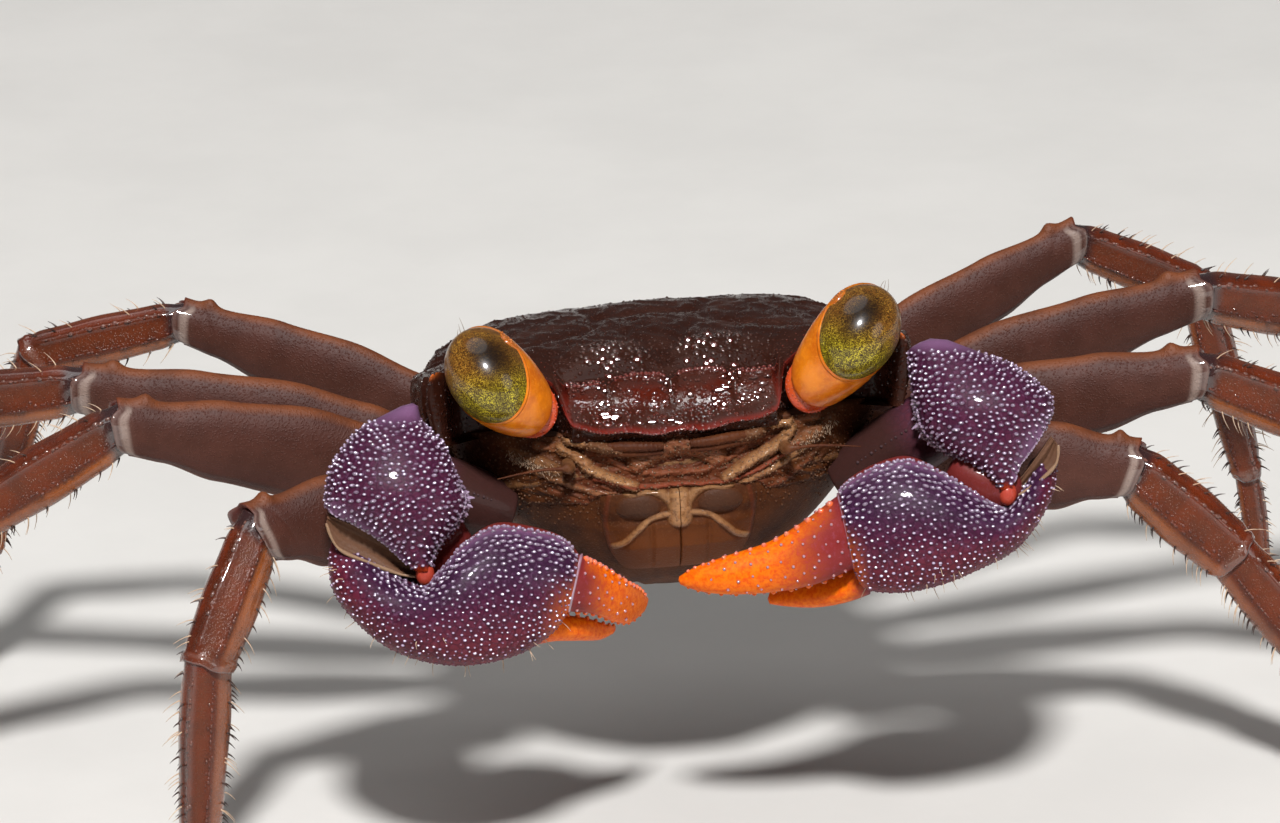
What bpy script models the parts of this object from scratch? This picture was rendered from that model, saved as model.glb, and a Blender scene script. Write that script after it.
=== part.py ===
"""Vampire crab, a life-size still model standing on a flat floor.

Sizes are millimetres and degrees; the meshes are written in metres, +Z up. The crab faces -Y, its
own left side is +X, and the toes stand on z = 0. The carapace and what sits on it are laid out in
the body's own axes (x to its left, y to its rear, z up, origin in the middle of the carapace). The
claws are laid out in the plane that their outer faces share.
"""
import math

import bpy
import bmesh
from mathutils import Matrix, Vector
from mathutils.bvhtree import BVHTree

MM = 0.001
GAP = 0.3                    # between neighbouring sub-parts
STEEPEST = 0.2               # least cosine that the gap is measured across a slanted surface with

# Stance
FRONT_HEIGHT = 16.8          # middle of the frontal margin above the floor
BODY_PITCH = 8.0             # front raised
BODY_ROLL = 2.0              # left side raised
CENTRE_X = 0.43              # moves the finished crab over the origin
CENTRE_Y = 0.82

# Carapace, in body axes
FRONT_Y = -7.65
FRONT_HALF = 3.95
LIP_Z = -0.9
CREST_T = 0.085              # share of the length taken by the bent-down front
CREST_Z = 0.95
REAR_Y = 7.45
TOP_Z = 1.5
TOOTH_HALF = 8.55
TOOTH_Y = -5.4
ORBIT_Y = -5.3
SHELL_Z = -1.15              # lower edge of the shell
LOBE_GROOVE_X = (0.0, 2.28)  # grooves between the four lobes behind the front

# Body below the shell: height, half-width, front, rear, squareness of the outline
BELLY = (
    (-1.45, 8.1, -6.6, 6.7, 3.8),
    (-2.6, 7.7, -6.85, 6.6, 3.1),
    (-4.0, 6.9, -6.75, 6.2, 2.8),
    (-5.5, 5.7, -6.2, 5.7, 2.6),
    (-6.9, 4.1, -5.1, 4.9, 2.5),
    (-7.6, 2.6, -3.9, 4.0, 2.3),
)

# Eyes: bulb centre in body axes, and which way the cornea looks in the claw plane
EYE_RIGHT = (-6.65, -7.4, 1.72)
EYE_LEFT = (6.85, -7.3, 2.08)
EYE_LONG = 1.85
EYE_SHORT = 1.45
EYE_SLANT = 54.0             # of the long axis, up and outwards
STALK_ROOT = (5.05, -6.6, 0.05)
STALK_RADIUS = 0.98

# Second antenna, body axes: x, y, z and radius from its root to its tip
ANTENNA = (
    (3.95, -7.3, -2.0, 0.42),
    (4.1, -7.85, -1.9, 0.38),
    (5.4, -7.95, -1.92, 0.26),
    (6.65, -8.05, -1.95, 0.12),
)

# Claw plane
PLANE_TURN = -6.0
PLANE_LEAN = 22.0
PLANE_ROLL = 1.0

# Claws. A station is a slice across the piece: x, y of its outer or lower edge and x, y of its inner
# or upper edge in the claw plane, measured from the middle of the frontal margin, then its depth and
# its thickness towards the front and towards the back.
CARPUS_RIGHT = (
    (-9.9, 0.9, -9.3, 0.9, -0.15, 0.5, 0.8),
    (-11.2, 0.2, -9.1, 0.3, -0.35, 1.2, 1.3),
    (-11.9, -0.5, -8.4, -0.4, -0.55, 1.7, 1.6),
    (-12.4, -1.3, -8.0, -1.3, -0.65, 2.0, 1.8),
    (-12.6, -2.1, -7.7, -2.0, -0.75, 2.1, 1.8),
    (-12.5, -2.8, -7.5, -2.5, -0.85, 2.0, 1.7),
    (-11.5, -3.3, -7.8, -3.2, -0.95, 1.8, 1.4),
    (-10.5, -3.9, -8.5, -4.1, -1.15, 1.3, 1.0),
    (-9.7, -4.6, -8.8, -4.7, -1.45, 0.9, 0.7),
    (-9.15, -5.0, -8.85, -5.0, -1.65, 0.4, 0.4),
)
PALM_RIGHT = (
    (-12.4, -3.95, -10.8, -4.5, -0.05, 1.0, 1.1),
    (-12.5, -4.8, -10.0, -5.1, -0.35, 1.4, 1.4),
    (-12.2, -6.0, -9.2, -5.5, -0.65, 1.7, 1.6),
    (-10.9, -7.4, -8.7, -5.4, -0.85, 1.8, 1.7),
    (-9.6, -8.1, -8.2, -4.8, -0.95, 1.9, 1.8),
    (-8.1, -8.4, -7.5, -3.9, -0.95, 2.0, 1.8),
    (-6.7, -8.3, -6.5, -3.3, -0.85, 1.9, 1.8),
    (-5.4, -7.9, -5.3, -3.4, -0.65, 1.7, 1.7),
    (-4.4, -7.2, -4.1, -3.8, -0.45, 1.4, 1.4),
    (-3.9, -6.5, -3.45, -4.5, -0.25, 1.0, 1.0),
)
FINGER_RIGHT = (
    (-3.65, -6.5, -3.2, -4.5, -0.15, 0.8, 0.8),
    (-3.0, -6.6, -2.7, -4.8, 0.45, 0.75, 0.75),
    (-2.3, -6.9, -1.8, -5.4, 1.55, 0.65, 0.65),
    (-1.7, -7.0, -1.3, -5.7, 2.65, 0.5, 0.5),
    (-1.15, -6.6, -1.0, -6.15, 3.55, 0.25, 0.25),
)
THUMB_RIGHT = (
    (-5.4, -7.8, -5.0, -6.8, 0.15, 0.8, 0.8),
    (-4.5, -7.6, -4.2, -6.9, 0.55, 0.7, 0.7),
    (-3.6, -7.6, -3.3, -7.0, 1.35, 0.6, 0.6),
    (-2.8, -7.6, -2.6, -7.2, 2.35, 0.45, 0.45),
    (-2.3, -7.4, -2.2, -7.25, 3.05, 0.25, 0.25),
)
CARPUS_LEFT = (
    (9.8, 3.3, 8.8, 3.2, 1.2, 0.5, 0.6),
    (11.1, 2.8, 8.4, 2.9, 1.0, 1.1, 1.2),
    (12.3, 2.3, 8.4, 2.3, 0.9, 1.6, 1.5),
    (13.4, 1.4, 8.5, 1.5, 0.8, 2.0, 1.7),
    (13.6, 0.8, 8.6, 0.8, 0.7, 2.1, 1.7),
    (13.3, 0.1, 8.8, 0.1, 0.6, 2.0, 1.6),
    (12.8, -0.6, 9.5, -0.6, 0.4, 1.7, 1.4),
    (12.3, -1.2, 10.6, -1.2, 0.2, 1.3, 1.0),
    (12.1, -1.7, 11.3, -1.7, -0.1, 0.9, 0.7),
    (11.9, -2.1, 11.6, -2.1, -0.2, 0.4, 0.4),
)
PALM_LEFT = (
    (13.7, -0.8, 12.9, -1.0, 1.4, 0.9, 1.0),
    (13.7, -1.9, 12.5, -1.9, 1.1, 1.3, 1.3),
    (13.2, -3.1, 12.0, -2.6, 0.8, 1.6, 1.5),
    (12.2, -4.3, 11.6, -2.75, 0.6, 1.7, 1.6),
    (10.9, -5.0, 10.7, -2.2, 0.5, 1.8, 1.7),
    (9.7, -5.5, 9.5, -1.4, 0.4, 1.9, 1.7),
    (8.4, -5.8, 8.3, -0.9, 0.3, 1.8, 1.6),
    (7.3, -5.8, 7.1, -1.2, 0.2, 1.6, 1.4),
    (6.7, -5.6, 6.1, -1.8, 0.2, 1.3, 1.2),
    (6.4, -5.0, 5.8, -2.3, 0.2, 1.0, 0.9),
)
FINGER_LEFT = (
    (6.1, -5.0, 5.5, -2.4, 0.2, 0.85, 0.8),
    (5.1, -5.5, 4.5, -3.3, 0.3, 0.8, 0.7),
    (3.6, -5.8, 3.3, -4.0, 0.4, 0.7, 0.6),
    (2.0, -5.9, 1.8, -4.5, 0.5, 0.6, 0.5),
    (0.9, -5.8, 0.7, -4.9, 0.6, 0.45, 0.4),
    (0.15, -5.55, 0.1, -5.25, 0.7, 0.2, 0.2),
)
THUMB_LEFT = (
    (7.0, -5.9, 6.9, -4.9, 0.9, 0.8, 0.8),
    (6.2, -6.2, 6.1, -5.3, 1.4, 0.7, 0.7),
    (5.2, -6.4, 5.1, -5.6, 1.9, 0.6, 0.6),
    (4.2, -6.4, 4.2, -5.8, 2.2, 0.45, 0.45),
    (3.4, -6.3, 3.4, -6.0, 2.4, 0.25, 0.25),
)
CLAW_ROOT = (6.2, -5.0, -4.1)      # of the claw's arm, in body axes
ELBOW_RIGHT = (-10.4, -1.6, 1.2)   # claw plane x, y and depth of the arm's end
ELBOW_LEFT = (10.4, 0.9, 2.2)
ARM_OUT = (0.8, -0.55, 0.1)        # way that it leaves the body, in body axes
ARM_RADII = (1.0, 1.2)            # at the body and at the carpus
ARM_SWELL = 0.1

# Walking legs: root in body axes, then the lengths of merus, carpus, propodus and dactyl, and a
# factor on the thickness
LEGS = {
    "leg1": ((6.6, -2.05, -4.1), (9.9, 5.1, 7.3, 5.2), 1.1),
    "leg2": ((6.9, 0.3, -4.1), (13.4, 6.5, 9.0, 6.2), 1.0),
    "leg3": ((6.5, 3.1, -4.1), (15.0, 6.8, 9.8, 6.6), 0.97),
    "leg4": ((5.3, 5.3, -3.9), (13.0, 6.0, 8.4, 6.7), 0.82),
}
# Headings (0 straight out to the side, positive to the rear) of the four segments, and how far the
# first three rise, and how much further out than usual the root lies. The dactyl comes down to the
# floor by itself.
STEPS = {
    "leg1_right": ((-25.0, -50.0, -20.0, -30.0), (4.4, -50.5, -85.0), -0.25),
    "leg2_right": ((-4.0, 2.5, 3.0, 3.0), (14.0, -31.0, -49.0), 0.0),
    "leg3_right": ((6.0, 22.0, 24.0, 24.0), (12.0, -12.0, -54.0), 0.0),
    "leg4_right": ((17.0, 10.0, 14.0, 14.0), (18.0, -14.0, -74.0), 0.0),
    "leg1_left": ((-10.0, -17.0, -18.0, -18.0), (-1.3, -40.0, -51.0), 0.7),
    "leg2_left": ((-4.5, -1.0, 0.0, 0.0), (10.8, -24.0, -56.0), 0.0),
    "leg3_left": ((3.0, 22.0, 24.0, 24.0), (16.5, -18.0, -60.0), 0.0),
    "leg4_left": ((14.0, 13.0, 18.0, 18.0), (23.5, -27.0, -74.0), 0.0),
}
# Profiles of the limb segments: share of the length, half-height, half-thickness
MERUS = ((0.0, 1.0, 0.9), (0.09, 1.05, 0.95), (0.15, 0.82, 0.75), (0.3, 1.4, 0.8),
         (0.5, 1.72, 0.85), (0.72, 1.5, 0.8), (0.9, 1.08, 0.75), (1.0, 0.95, 0.72))
CARPUS = ((0.0, 0.9, 0.7), (0.2, 1.02, 0.76), (0.55, 1.12, 0.8), (0.85, 1.02, 0.76), (1.0, 0.92, 0.7))
PROPODUS = ((0.0, 0.92, 0.7), (0.3, 0.96, 0.68), (0.7, 0.86, 0.6), (1.0, 0.72, 0.52))
DACTYL = ((0.0, 0.64, 0.5), (0.25, 0.62, 0.46), (0.7, 0.42, 0.34), (1.0, 0.24, 0.22))
SEGMENTS = (("merus", MERUS, 10), ("carpus", CARPUS, 6), ("propodus", PROPODUS, 6), ("dactyl", DACTYL, 6))
LIMB_POWER = 2.3             # squareness of a limb's section, 2 being round
CUT_FADE = 0.3               # share of a segment over which a slanted end dies out
FLOOR_POINT = (0.0, 0.0, 0.0)
UPRIGHT = (0.0, 0.0, 1.0)
GRANULE = 0.13               # rise of a granule on the claws, and on their fingers
FINGER_GRANULE = 0.06

COLOURS = {
    "shell": (0.10, 0.035, 0.025), "belly": (0.16, 0.07, 0.035), "claw": (0.16, 0.06, 0.17),
    "finger": (0.80, 0.20, 0.02), "leg": (0.22, 0.075, 0.04), "stalk": (0.65, 0.22, 0.02),
    "eye": (0.16, 0.12, 0.02),
}


def body_matrix():
    """Body axes to floor axes, in millimetres."""
    turn = Matrix.Rotation(math.radians(BODY_ROLL), 3, "Y").inverted()
    turn = turn @ Matrix.Rotation(math.radians(BODY_PITCH), 3, "X").inverted()
    front = turn @ Vector((0.0, FRONT_Y, LIP_Z))
    place = Matrix.Translation((CENTRE_X, CENTRE_Y, FRONT_HEIGHT - front.z))
    return place @ turn.to_4x4()


BODY = body_matrix()


def plane_axes():
    """Right, up and inward directions of the claw plane."""
    turn, lean, roll = (math.radians(a) for a in (PLANE_TURN, PLANE_LEAN, PLANE_ROLL))
    inward = Vector((-math.sin(turn) * math.cos(lean), math.cos(turn) * math.cos(lean), -math.sin(lean)))
    right = Vector((math.cos(turn), math.sin(turn), 0.0))
    up = right.cross(inward)
    return (right * math.cos(roll) - up * math.sin(roll),
            right * math.sin(roll) + up * math.cos(roll), inward)


RIGHT, UP, INWARD = plane_axes()


def in_plane(x, y, depth):
    """Point of the claw plane, in floor axes."""
    return BODY @ Vector((0.0, FRONT_Y, LIP_Z)) + RIGHT * x + UP * y + INWARD * depth


def ease(value, low, high):
    """0 below low, 1 above high, smooth between."""
    share = min(1.0, max(0.0, (value - low) / (high - low)))
    return share * share * (3.0 - 2.0 * share)


def spline(rows, share):
    """Smooth value at share 0 to 1 through equally spaced rows of numbers."""
    last = len(rows) - 1
    place = share * last
    i = min(last - 1, int(place))
    t = place - i
    p0, p1 = rows[max(0, i - 1)], rows[i]
    p2, p3 = rows[i + 1], rows[min(last, i + 2)]
    return [0.5 * (2 * b + (c - a) * t + (2 * a - 5 * b + 4 * c - d) * t * t
                   + (3 * b - a - 3 * c + d) * t * t * t)
            for a, b, c, d in zip(p0, p1, p2, p3)]


def profile(rows, share):
    """Half-height and half-thickness at a share of the length, eased between the rows."""
    for low, high in zip(rows, rows[1:]):
        if share <= high[0]:
            mix = ease(share, low[0], high[0])
            return [a + (b - a) * mix for a, b in zip(low[1:], high[1:])]
    return list(rows[-1][1:])


def superellipse(angle, power):
    """Unit point of a rounded square; a power of 2 is a circle."""
    c, s = math.cos(angle), math.sin(angle)
    return (math.copysign(abs(c) ** (2.0 / power), c), math.copysign(abs(s) ** (2.0 / power), s))


def material(name):
    """One plain glossy finish for each kind of surface."""
    found = bpy.data.materials.get(name)
    if found:
        return found
    made = bpy.data.materials.new(name)
    made.use_nodes = True
    shader = made.node_tree.nodes["Principled BSDF"]
    shader.inputs["Base Color"].default_value = (*COLOURS[name], 1.0)
    shader.inputs["Roughness"].default_value = 0.3
    shader.inputs["Metallic"].default_value = 0.0
    return made


def skin_rings(rings, close_start=None, close_end=None):
    """Closed mesh over rings of equal count, capped flat or by a fan to a given point."""
    mesh = bmesh.new()
    loops = [[mesh.verts.new(p) for p in ring] for ring in rings]
    count = len(loops[0])
    for low, high in zip(loops, loops[1:]):
        for j in range(count):
            k = (j + 1) % count
            mesh.faces.new((low[j], low[k], high[k], high[j]))
    for loop, tip in ((loops[0], close_start), (loops[-1], close_end)):
        if tip is None:
            mesh.faces.new(loop)
            continue
        top = mesh.verts.new(tip)
        for j in range(count):
            mesh.faces.new((loop[j], loop[(j + 1) % count], top))
    bmesh.ops.triangulate(mesh, faces=[f for f in mesh.faces if len(f.verts) > 4])
    bmesh.ops.recalc_face_normals(mesh, faces=mesh.faces)
    return mesh


def add_node(name, mesh, finish, smooth=True):
    """Object for one sub-part, from a mesh in millimetres."""
    bmesh.ops.transform(mesh, matrix=Matrix.Scale(MM, 4), verts=mesh.verts)
    data = bpy.data.meshes.new(name)
    mesh.to_mesh(data)
    mesh.free()
    data.materials.append(material(finish))
    if smooth:
        data.shade_smooth()
        data.set_sharp_from_angle(angle=math.radians(50.0))
    made = bpy.data.objects.new(name, data)
    PARTS.objects.link(made)
    return made


def tree_of(objects):
    """Ray-cast tree of finished sub-parts, in millimetres."""
    verts, faces = [], []
    for made in objects:
        base = len(verts)
        verts += [v.co / MM for v in made.data.vertices]
        faces += [[base + i for i in f.vertices] for f in made.data.polygons]
    return BVHTree.FromPolygons(verts, faces)


def seat(points, grow, tree, reach=4.0):
    """Moves points along the growing direction until they stand one gap off the carrying surface."""
    moved, slides = [], []
    for p in points:
        hit, normal, _, _ = tree.ray_cast(p + grow * reach, -grow, 3.0 * reach)
        if hit is None:
            slides.append(None)
            continue
        stand_off = GAP / max(STEEPEST, abs(normal.dot(grow)))
        slides.append((hit - p).dot(grow) + stand_off)
    known = [s for s in slides if s is not None]
    middle = sum(known) / len(known)
    for p, slide in zip(points, slides):
        moved.append(p + grow * (middle if slide is None else slide))
    return moved


def slide_to(points, direction, on, normal):
    """Moves points along a direction onto a plane."""
    return [p + direction * ((on - p).dot(normal) / direction.dot(normal)) for p in points]


def seated_on(tree, sign=1.0):
    """Cut of a limb segment that meets the surface of what carries it."""
    return lambda points, along: seat(points, along * sign, tree)


def cut_on(on, normal):
    """Cut of a limb segment on a plane."""
    return lambda points, along: slide_to(points, along, on, normal)


def segment(name, start, end, side_axis, rows, factor, start_cut, end_cut, finish, rings=7, sides=10):
    """One limb segment from start to end, its two ends trimmed to the given cuts."""
    along = (end - start).normalized()
    across = side_axis - along * side_axis.dot(along)
    across.normalize()
    height = along.cross(across)
    length = (end - start).length
    angles = [2 * math.pi * j / sides for j in range(sides)]

    def ring_at(share):
        tall, thick = profile(rows, share)
        made = []
        for angle in angles:
            c, s = superellipse(angle, LIMB_POWER)
            made.append(start + along * (length * share)
                        + height * (tall * factor * c) + across * (thick * factor * s))
        return made

    first, last = ring_at(0.0), ring_at(1.0)
    slide_first = [(b - a).dot(along) for a, b in zip(first, start_cut(first, along))]
    slide_last = [(b - a).dot(along) for a, b in zip(last, end_cut(last, along))]
    made = []
    for i in range(rings):
        share = i / (rings - 1)
        near = max(0.0, 1.0 - share / CUT_FADE)
        far = max(0.0, 1.0 - (1.0 - share) / CUT_FADE)
        made.append([p + along * (a * near + b * far)
                     for p, a, b in zip(ring_at(share), slide_first, slide_last)])
    return add_node(name, skin_rings(made), finish)


def mitre(joint, before, after, sign):
    """Cut on the plane that halves a bend, half a gap away from it."""
    normal = (before.normalized() + after.normalized()).normalized()
    return cut_on(joint + normal * (sign * GAP / 2), normal)


def heading(side, turn, rise):
    """Direction of a limb segment."""
    turn, rise = math.radians(turn), math.radians(rise)
    return Vector((side * math.cos(rise) * math.cos(turn), math.cos(rise) * math.sin(turn), math.sin(rise)))


def leg_joints(leg, side_name):
    """Root, knee, ankle, wrist and toe of one walking leg."""
    side = 1 if side_name == "left" else -1
    root, lengths, _ = LEGS[leg]
    turns, rises, wider = STEPS[f"{leg}_{side_name}"]
    joints = [BODY @ Vector((side * (root[0] + wider), root[1], root[2]))]
    for length, turn, rise in zip(lengths, turns, rises):
        joints.append(joints[-1] + heading(side, turn, rise) * length)
    drop = joints[-1].z
    out = math.sqrt(lengths[3] ** 2 - drop ** 2)
    toe = joints[-1] + heading(side, turns[3], 0.0) * out
    toe.z = 0.0
    return joints + [toe]


def walking_leg(leg, side_name, tree):
    """The four segments of one walking leg."""
    side = 1 if side_name == "left" else -1
    root, knee, ankle, wrist, toe = leg_joints(leg, side_name)
    factor = LEGS[leg][2]
    turn = math.radians(STEPS[f"{leg}_{side_name}"][0][1])
    across = Vector((-side * math.sin(turn), math.cos(turn), 0.0))
    spans = ((root, knee), (knee, ankle), (ankle, wrist), (wrist, toe))
    bends = [b - a for a, b in spans]
    starts = [seated_on(tree)] + [mitre(spans[i][0], bends[i - 1], bends[i], 1) for i in (1, 2, 3)]
    ends = [mitre(spans[i][1], bends[i], bends[i + 1], -1) for i in (0, 1, 2)]
    ends.append(cut_on(Vector(FLOOR_POINT), Vector(UPRIGHT)))
    for i, (kind, rows, rings) in enumerate(SEGMENTS):
        segment(f"{leg}_{side_name}_{kind}", *spans[i], across, rows, factor, starts[i], ends[i],
                "leg", rings=rings)


def station_rings(stations, rings, sides, power=2.2, granule=0.0):
    """Rings of a claw piece. Every other point may be raised as a granule."""
    made = []
    for i in range(rings):
        lx, ly, ux, uy, depth, front, back = spline(stations, i / (rings - 1))
        centre = in_plane((lx + ux) / 2, (ly + uy) / 2, depth)
        half = (in_plane(ux, uy, depth) - in_plane(lx, ly, depth)) / 2
        ring = []
        for j in range(sides):
            c, s = superellipse(2 * math.pi * (j + 0.5 * (i % 2)) / sides, power)
            thick = front if s > 0 else back
            offset = half * c - INWARD * (thick * s)
            raised = i % 2 == 0 and 0 < i < rings - 1 and j % 2 == (i // 2) % 2
            if raised:
                offset = offset * (1.0 + granule / offset.length)
            ring.append(centre + offset)
        made.append(ring)
    return made


def circle(middle, along, radius, sides):
    """Ring of points round a direction, the first of them level with the middle."""
    across = along.cross(Vector(UPRIGHT)).normalized()
    over = across.cross(along)
    angles = [2 * math.pi * j / sides for j in range(sides)]
    return [middle + (across * math.cos(a) + over * math.sin(a)) * radius for a in angles]


def rounded(rings, grow_start=0.0, grow_end=0.0):
    """Adds a smaller ring outside each end, so that the end isn't cut off square."""
    def smaller(ring, inner, grow):
        middle = sum(ring, Vector()) / len(ring)
        away = (middle - sum(inner, Vector()) / len(inner)).normalized()
        return [middle + (p - middle) * 0.55 + away * grow for p in ring]
    made = list(rings)
    if grow_start:
        made.insert(0, smaller(rings[0], rings[1], grow_start))
    if grow_end:
        made.append(smaller(rings[-1], rings[-2], grow_end))
    return made


def claw(side_name):
    """Carpus, palm with its fixed finger, movable finger and arm of one claw."""
    right = side_name == "right"
    side = -1 if right else 1
    carpus_rows, palm_rows = (CARPUS_RIGHT, PALM_RIGHT) if right else (CARPUS_LEFT, PALM_LEFT)
    finger_rows, thumb_rows = (FINGER_RIGHT, THUMB_RIGHT) if right else (FINGER_LEFT, THUMB_LEFT)
    rings = rounded(station_rings(carpus_rows, 17, 20, granule=GRANULE), 0.15, 0.08)
    carpus = add_node(f"claw_{side_name}_carpus", skin_rings(rings), "claw")
    rings = rounded(station_rings(palm_rows, 23, 22, granule=GRANULE), 0.15)
    palm = add_node(f"claw_{side_name}_palm", skin_rings(rings), "claw")
    palm = with_thumb(palm, thumb_rows)
    rings = station_rings(finger_rows, 10, 12, granule=FINGER_GRANULE)
    away = (sum(rings[3], Vector()) - sum(rings[0], Vector())).normalized()
    rings[0] = seat(rings[0], away, tree_of([palm]), 1.5)
    add_node(f"claw_{side_name}_finger", skin_rings(rings), "finger")
    return in_plane(*(ELBOW_RIGHT if right else ELBOW_LEFT)), carpus


def with_thumb(palm, rows):
    """Fuses the fixed finger to the palm."""
    rings = station_rings(rows, 8, 10)
    thumb = add_node("thumb", skin_rings(rings), "finger")
    join = palm.modifiers.new("thumb", "BOOLEAN")
    join.operation = "UNION"
    join.solver = "EXACT"
    join.object = thumb
    bpy.context.view_layer.update()
    fused = bpy.data.meshes.new_from_object(palm.evaluated_get(bpy.context.evaluated_depsgraph_get()))
    palm.modifiers.clear()
    palm.data = fused
    bpy.data.objects.remove(thumb)
    keep_largest(palm)
    return palm


def keep_largest(made):
    """Leaves only the closed surface with the most faces."""
    mesh = bmesh.new()
    mesh.from_mesh(made.data)
    left = set(mesh.faces)
    groups = []
    while left:
        group = [left.pop()]
        for face in group:
            for edge in face.edges:
                for other in edge.link_faces:
                    if other in left:
                        left.remove(other)
                        group.append(other)
        groups.append(group)
    groups.sort(key=len)
    scraps = [face for group in groups[:-1] for face in group]
    bmesh.ops.delete(mesh, geom=scraps, context="FACES")
    mesh.to_mesh(made.data)
    mesh.free()


def arm(side_name, elbow, carpus, tree):
    """Arm of the claw: from the front corner of the body to the back of the carpus."""
    side = -1 if side_name == "right" else 1
    root = BODY @ Vector((side * CLAW_ROOT[0], CLAW_ROOT[1], CLAW_ROOT[2]))
    out = (BODY.to_3x3() @ Vector((side * ARM_OUT[0], ARM_OUT[1], ARM_OUT[2]))).normalized()
    along = (elbow - root).normalized()
    first = seat(circle(root, out, ARM_RADII[0], 12), out, tree)
    last = seat(circle(elbow, along, ARM_RADII[1], 12), -along, tree_of([carpus]))
    rings = [first]
    for k in (0.2, 0.4, 0.6, 0.8):
        ring = [a.lerp(b, k) for a, b in zip(first, last)]
        middle = sum(ring, Vector()) / len(ring)
        rings.append([middle + (p - middle) * (1.0 + ARM_SWELL * math.sin(math.pi * k)) for p in ring])
    add_node(f"claw_{side_name}_merus", skin_rings(rings + [last]), "claw")


def margin_half(share):
    """Half-width of the carapace from its outer teeth to its rear corners."""
    rows = ((0.0, TOOTH_HALF), (0.07, 8.55), (0.12, 8.4), (0.19, 8.75), (0.45, 9.0), (0.7, 8.7),
            (0.9, 7.7), (1.0, 7.0))
    return profile(rows, share)[0]


def front_edge(x):
    """How far forward the carapace reaches at x: the front, then the orbit, then the outer tooth."""
    x = abs(x)
    orbit = ORBIT_Y - 0.9 * (1.0 - ease(x, FRONT_HALF, 5.4))
    orbit += (TOOTH_Y - 0.75 - ORBIT_Y) * ease(x, 7.4, TOOTH_HALF)
    front = FRONT_Y + 0.05 * math.exp(-(x / 0.35) ** 2)
    return front + (orbit - front) * ease(x, FRONT_HALF - 0.2, FRONT_HALF + 0.2)


def rear_edge(x):
    """Rear margin, rounded off to the corners."""
    return REAR_Y - 0.30 * max(0.0, abs(x) - 4.2) ** 2


def top_height(x, y):
    """Height of the upper surface away from the front."""
    fall = 0.045 * max(0.0, -2.0 - y) ** 2 * (1.0 - 0.8 * ease(abs(x), 3.9, 6.5))
    rear = 0.05 * max(0.0, y - 1.5) ** 2
    side = (0.15 + 1.5 * ease(y, TOOTH_Y, 1.5) + 0.5 * ease(y, 1.0, 5.0)) * (abs(x) / 8.8) ** 4
    groove = 0.22 * math.exp(-(x / 0.35) ** 2) * (1.0 - ease(y, -4.6, -3.4))
    beside = math.exp(-((abs(x) - 2.9 - 0.1 * y) / 0.4) ** 2)
    groove += 0.15 * beside * ease(y, -3.5, -2.0) * (1.0 - ease(y, 2.5, 4.0))
    return TOP_Z - fall - rear - side - groove


def carapace_point(u, share):
    """Point of the upper surface: u across from -1 to 1, share from front to rear."""
    x = u * margin_half(share)
    y = front_edge(x) + (rear_edge(x) - front_edge(x)) * share
    top = top_height(x, y)
    inside = 1.0 - ease(abs(x), FRONT_HALF - 0.15, FRONT_HALF + 0.2)
    if inside > 0.0 and share < 2.0 * CREST_T:
        lobe = min(abs(abs(x) - g) for g in LOBE_GROOVE_X)
        dent = math.exp(-(lobe / 0.28) ** 2)
        lip = LIP_Z + 0.5 * (abs(x) / FRONT_HALF) ** 2
        crest = CREST_Z + 0.12 - 0.3 * dent
        if share <= CREST_T:
            rise = (share / CREST_T) ** 0.8
            face = lip + (crest - lip) * rise
            y -= 0.18 * (1.0 - dent) * rise
        else:
            face = crest + (top - crest) * ease(share, CREST_T, 2.0 * CREST_T)
        top += (face - top) * inside
    return Vector((x, y, top))


def carapace():
    """Shell plate: top grid, side walls down to one level, flat underside."""
    shares = [0.0, 0.03, 0.06, CREST_T, 0.1, 0.13, 0.17] + [0.23 + 0.077 * i for i in range(11)]
    marks = [0.0, 0.13, 0.26, 0.36, 0.455, 0.47, 0.52, 0.6, 0.7, 0.8, 0.88, 0.95, 1.0]
    columns = [-m for m in reversed(marks[1:])] + marks
    mesh = bmesh.new()
    grid = [[mesh.verts.new(BODY @ carapace_point(u, s)) for u in columns] for s in shares]
    rows, count = len(shares), len(columns)
    for i in range(rows - 1):
        for j in range(count - 1):
            mesh.faces.new((grid[i][j], grid[i][j + 1], grid[i + 1][j + 1], grid[i + 1][j]))
    edge = [(0, j) for j in range(count)] + [(i, count - 1) for i in range(1, rows)]
    edge += [(rows - 1, j) for j in range(count - 2, -1, -1)] + [(i, 0) for i in range(rows - 2, 0, -1)]
    upper = [grid[i][j] for i, j in edge]
    rim = [carapace_point(columns[j], shares[i]) for i, j in edge]
    for level, bulge in ((0.5, 0.25), (1.0, -0.1)):
        lower = []
        for p in rim:
            depth = p.z - SHELL_Z
            at_front = p.y < TOOTH_Y + 0.6 and abs(p.x) < TOOTH_HALF - 0.5
            push = -0.45 * level if at_front else bulge
            away = Vector((0.0, -1.0, 0.0)) if at_front else Vector((p.x, p.y * 0.6, 0.0)).normalized()
            lower.append(mesh.verts.new(BODY @ (p - Vector((0, 0, depth * level)) + away * push)))
        for j in range(len(upper)):
            k = (j + 1) % len(upper)
            mesh.faces.new((upper[j], upper[k], lower[k], lower[j]))
        upper = lower
    bottom = mesh.faces.new(upper)
    bmesh.ops.triangulate(mesh, faces=[bottom])
    bmesh.ops.recalc_face_normals(mesh, faces=mesh.faces)
    return add_node("carapace", mesh, "shell")


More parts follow.
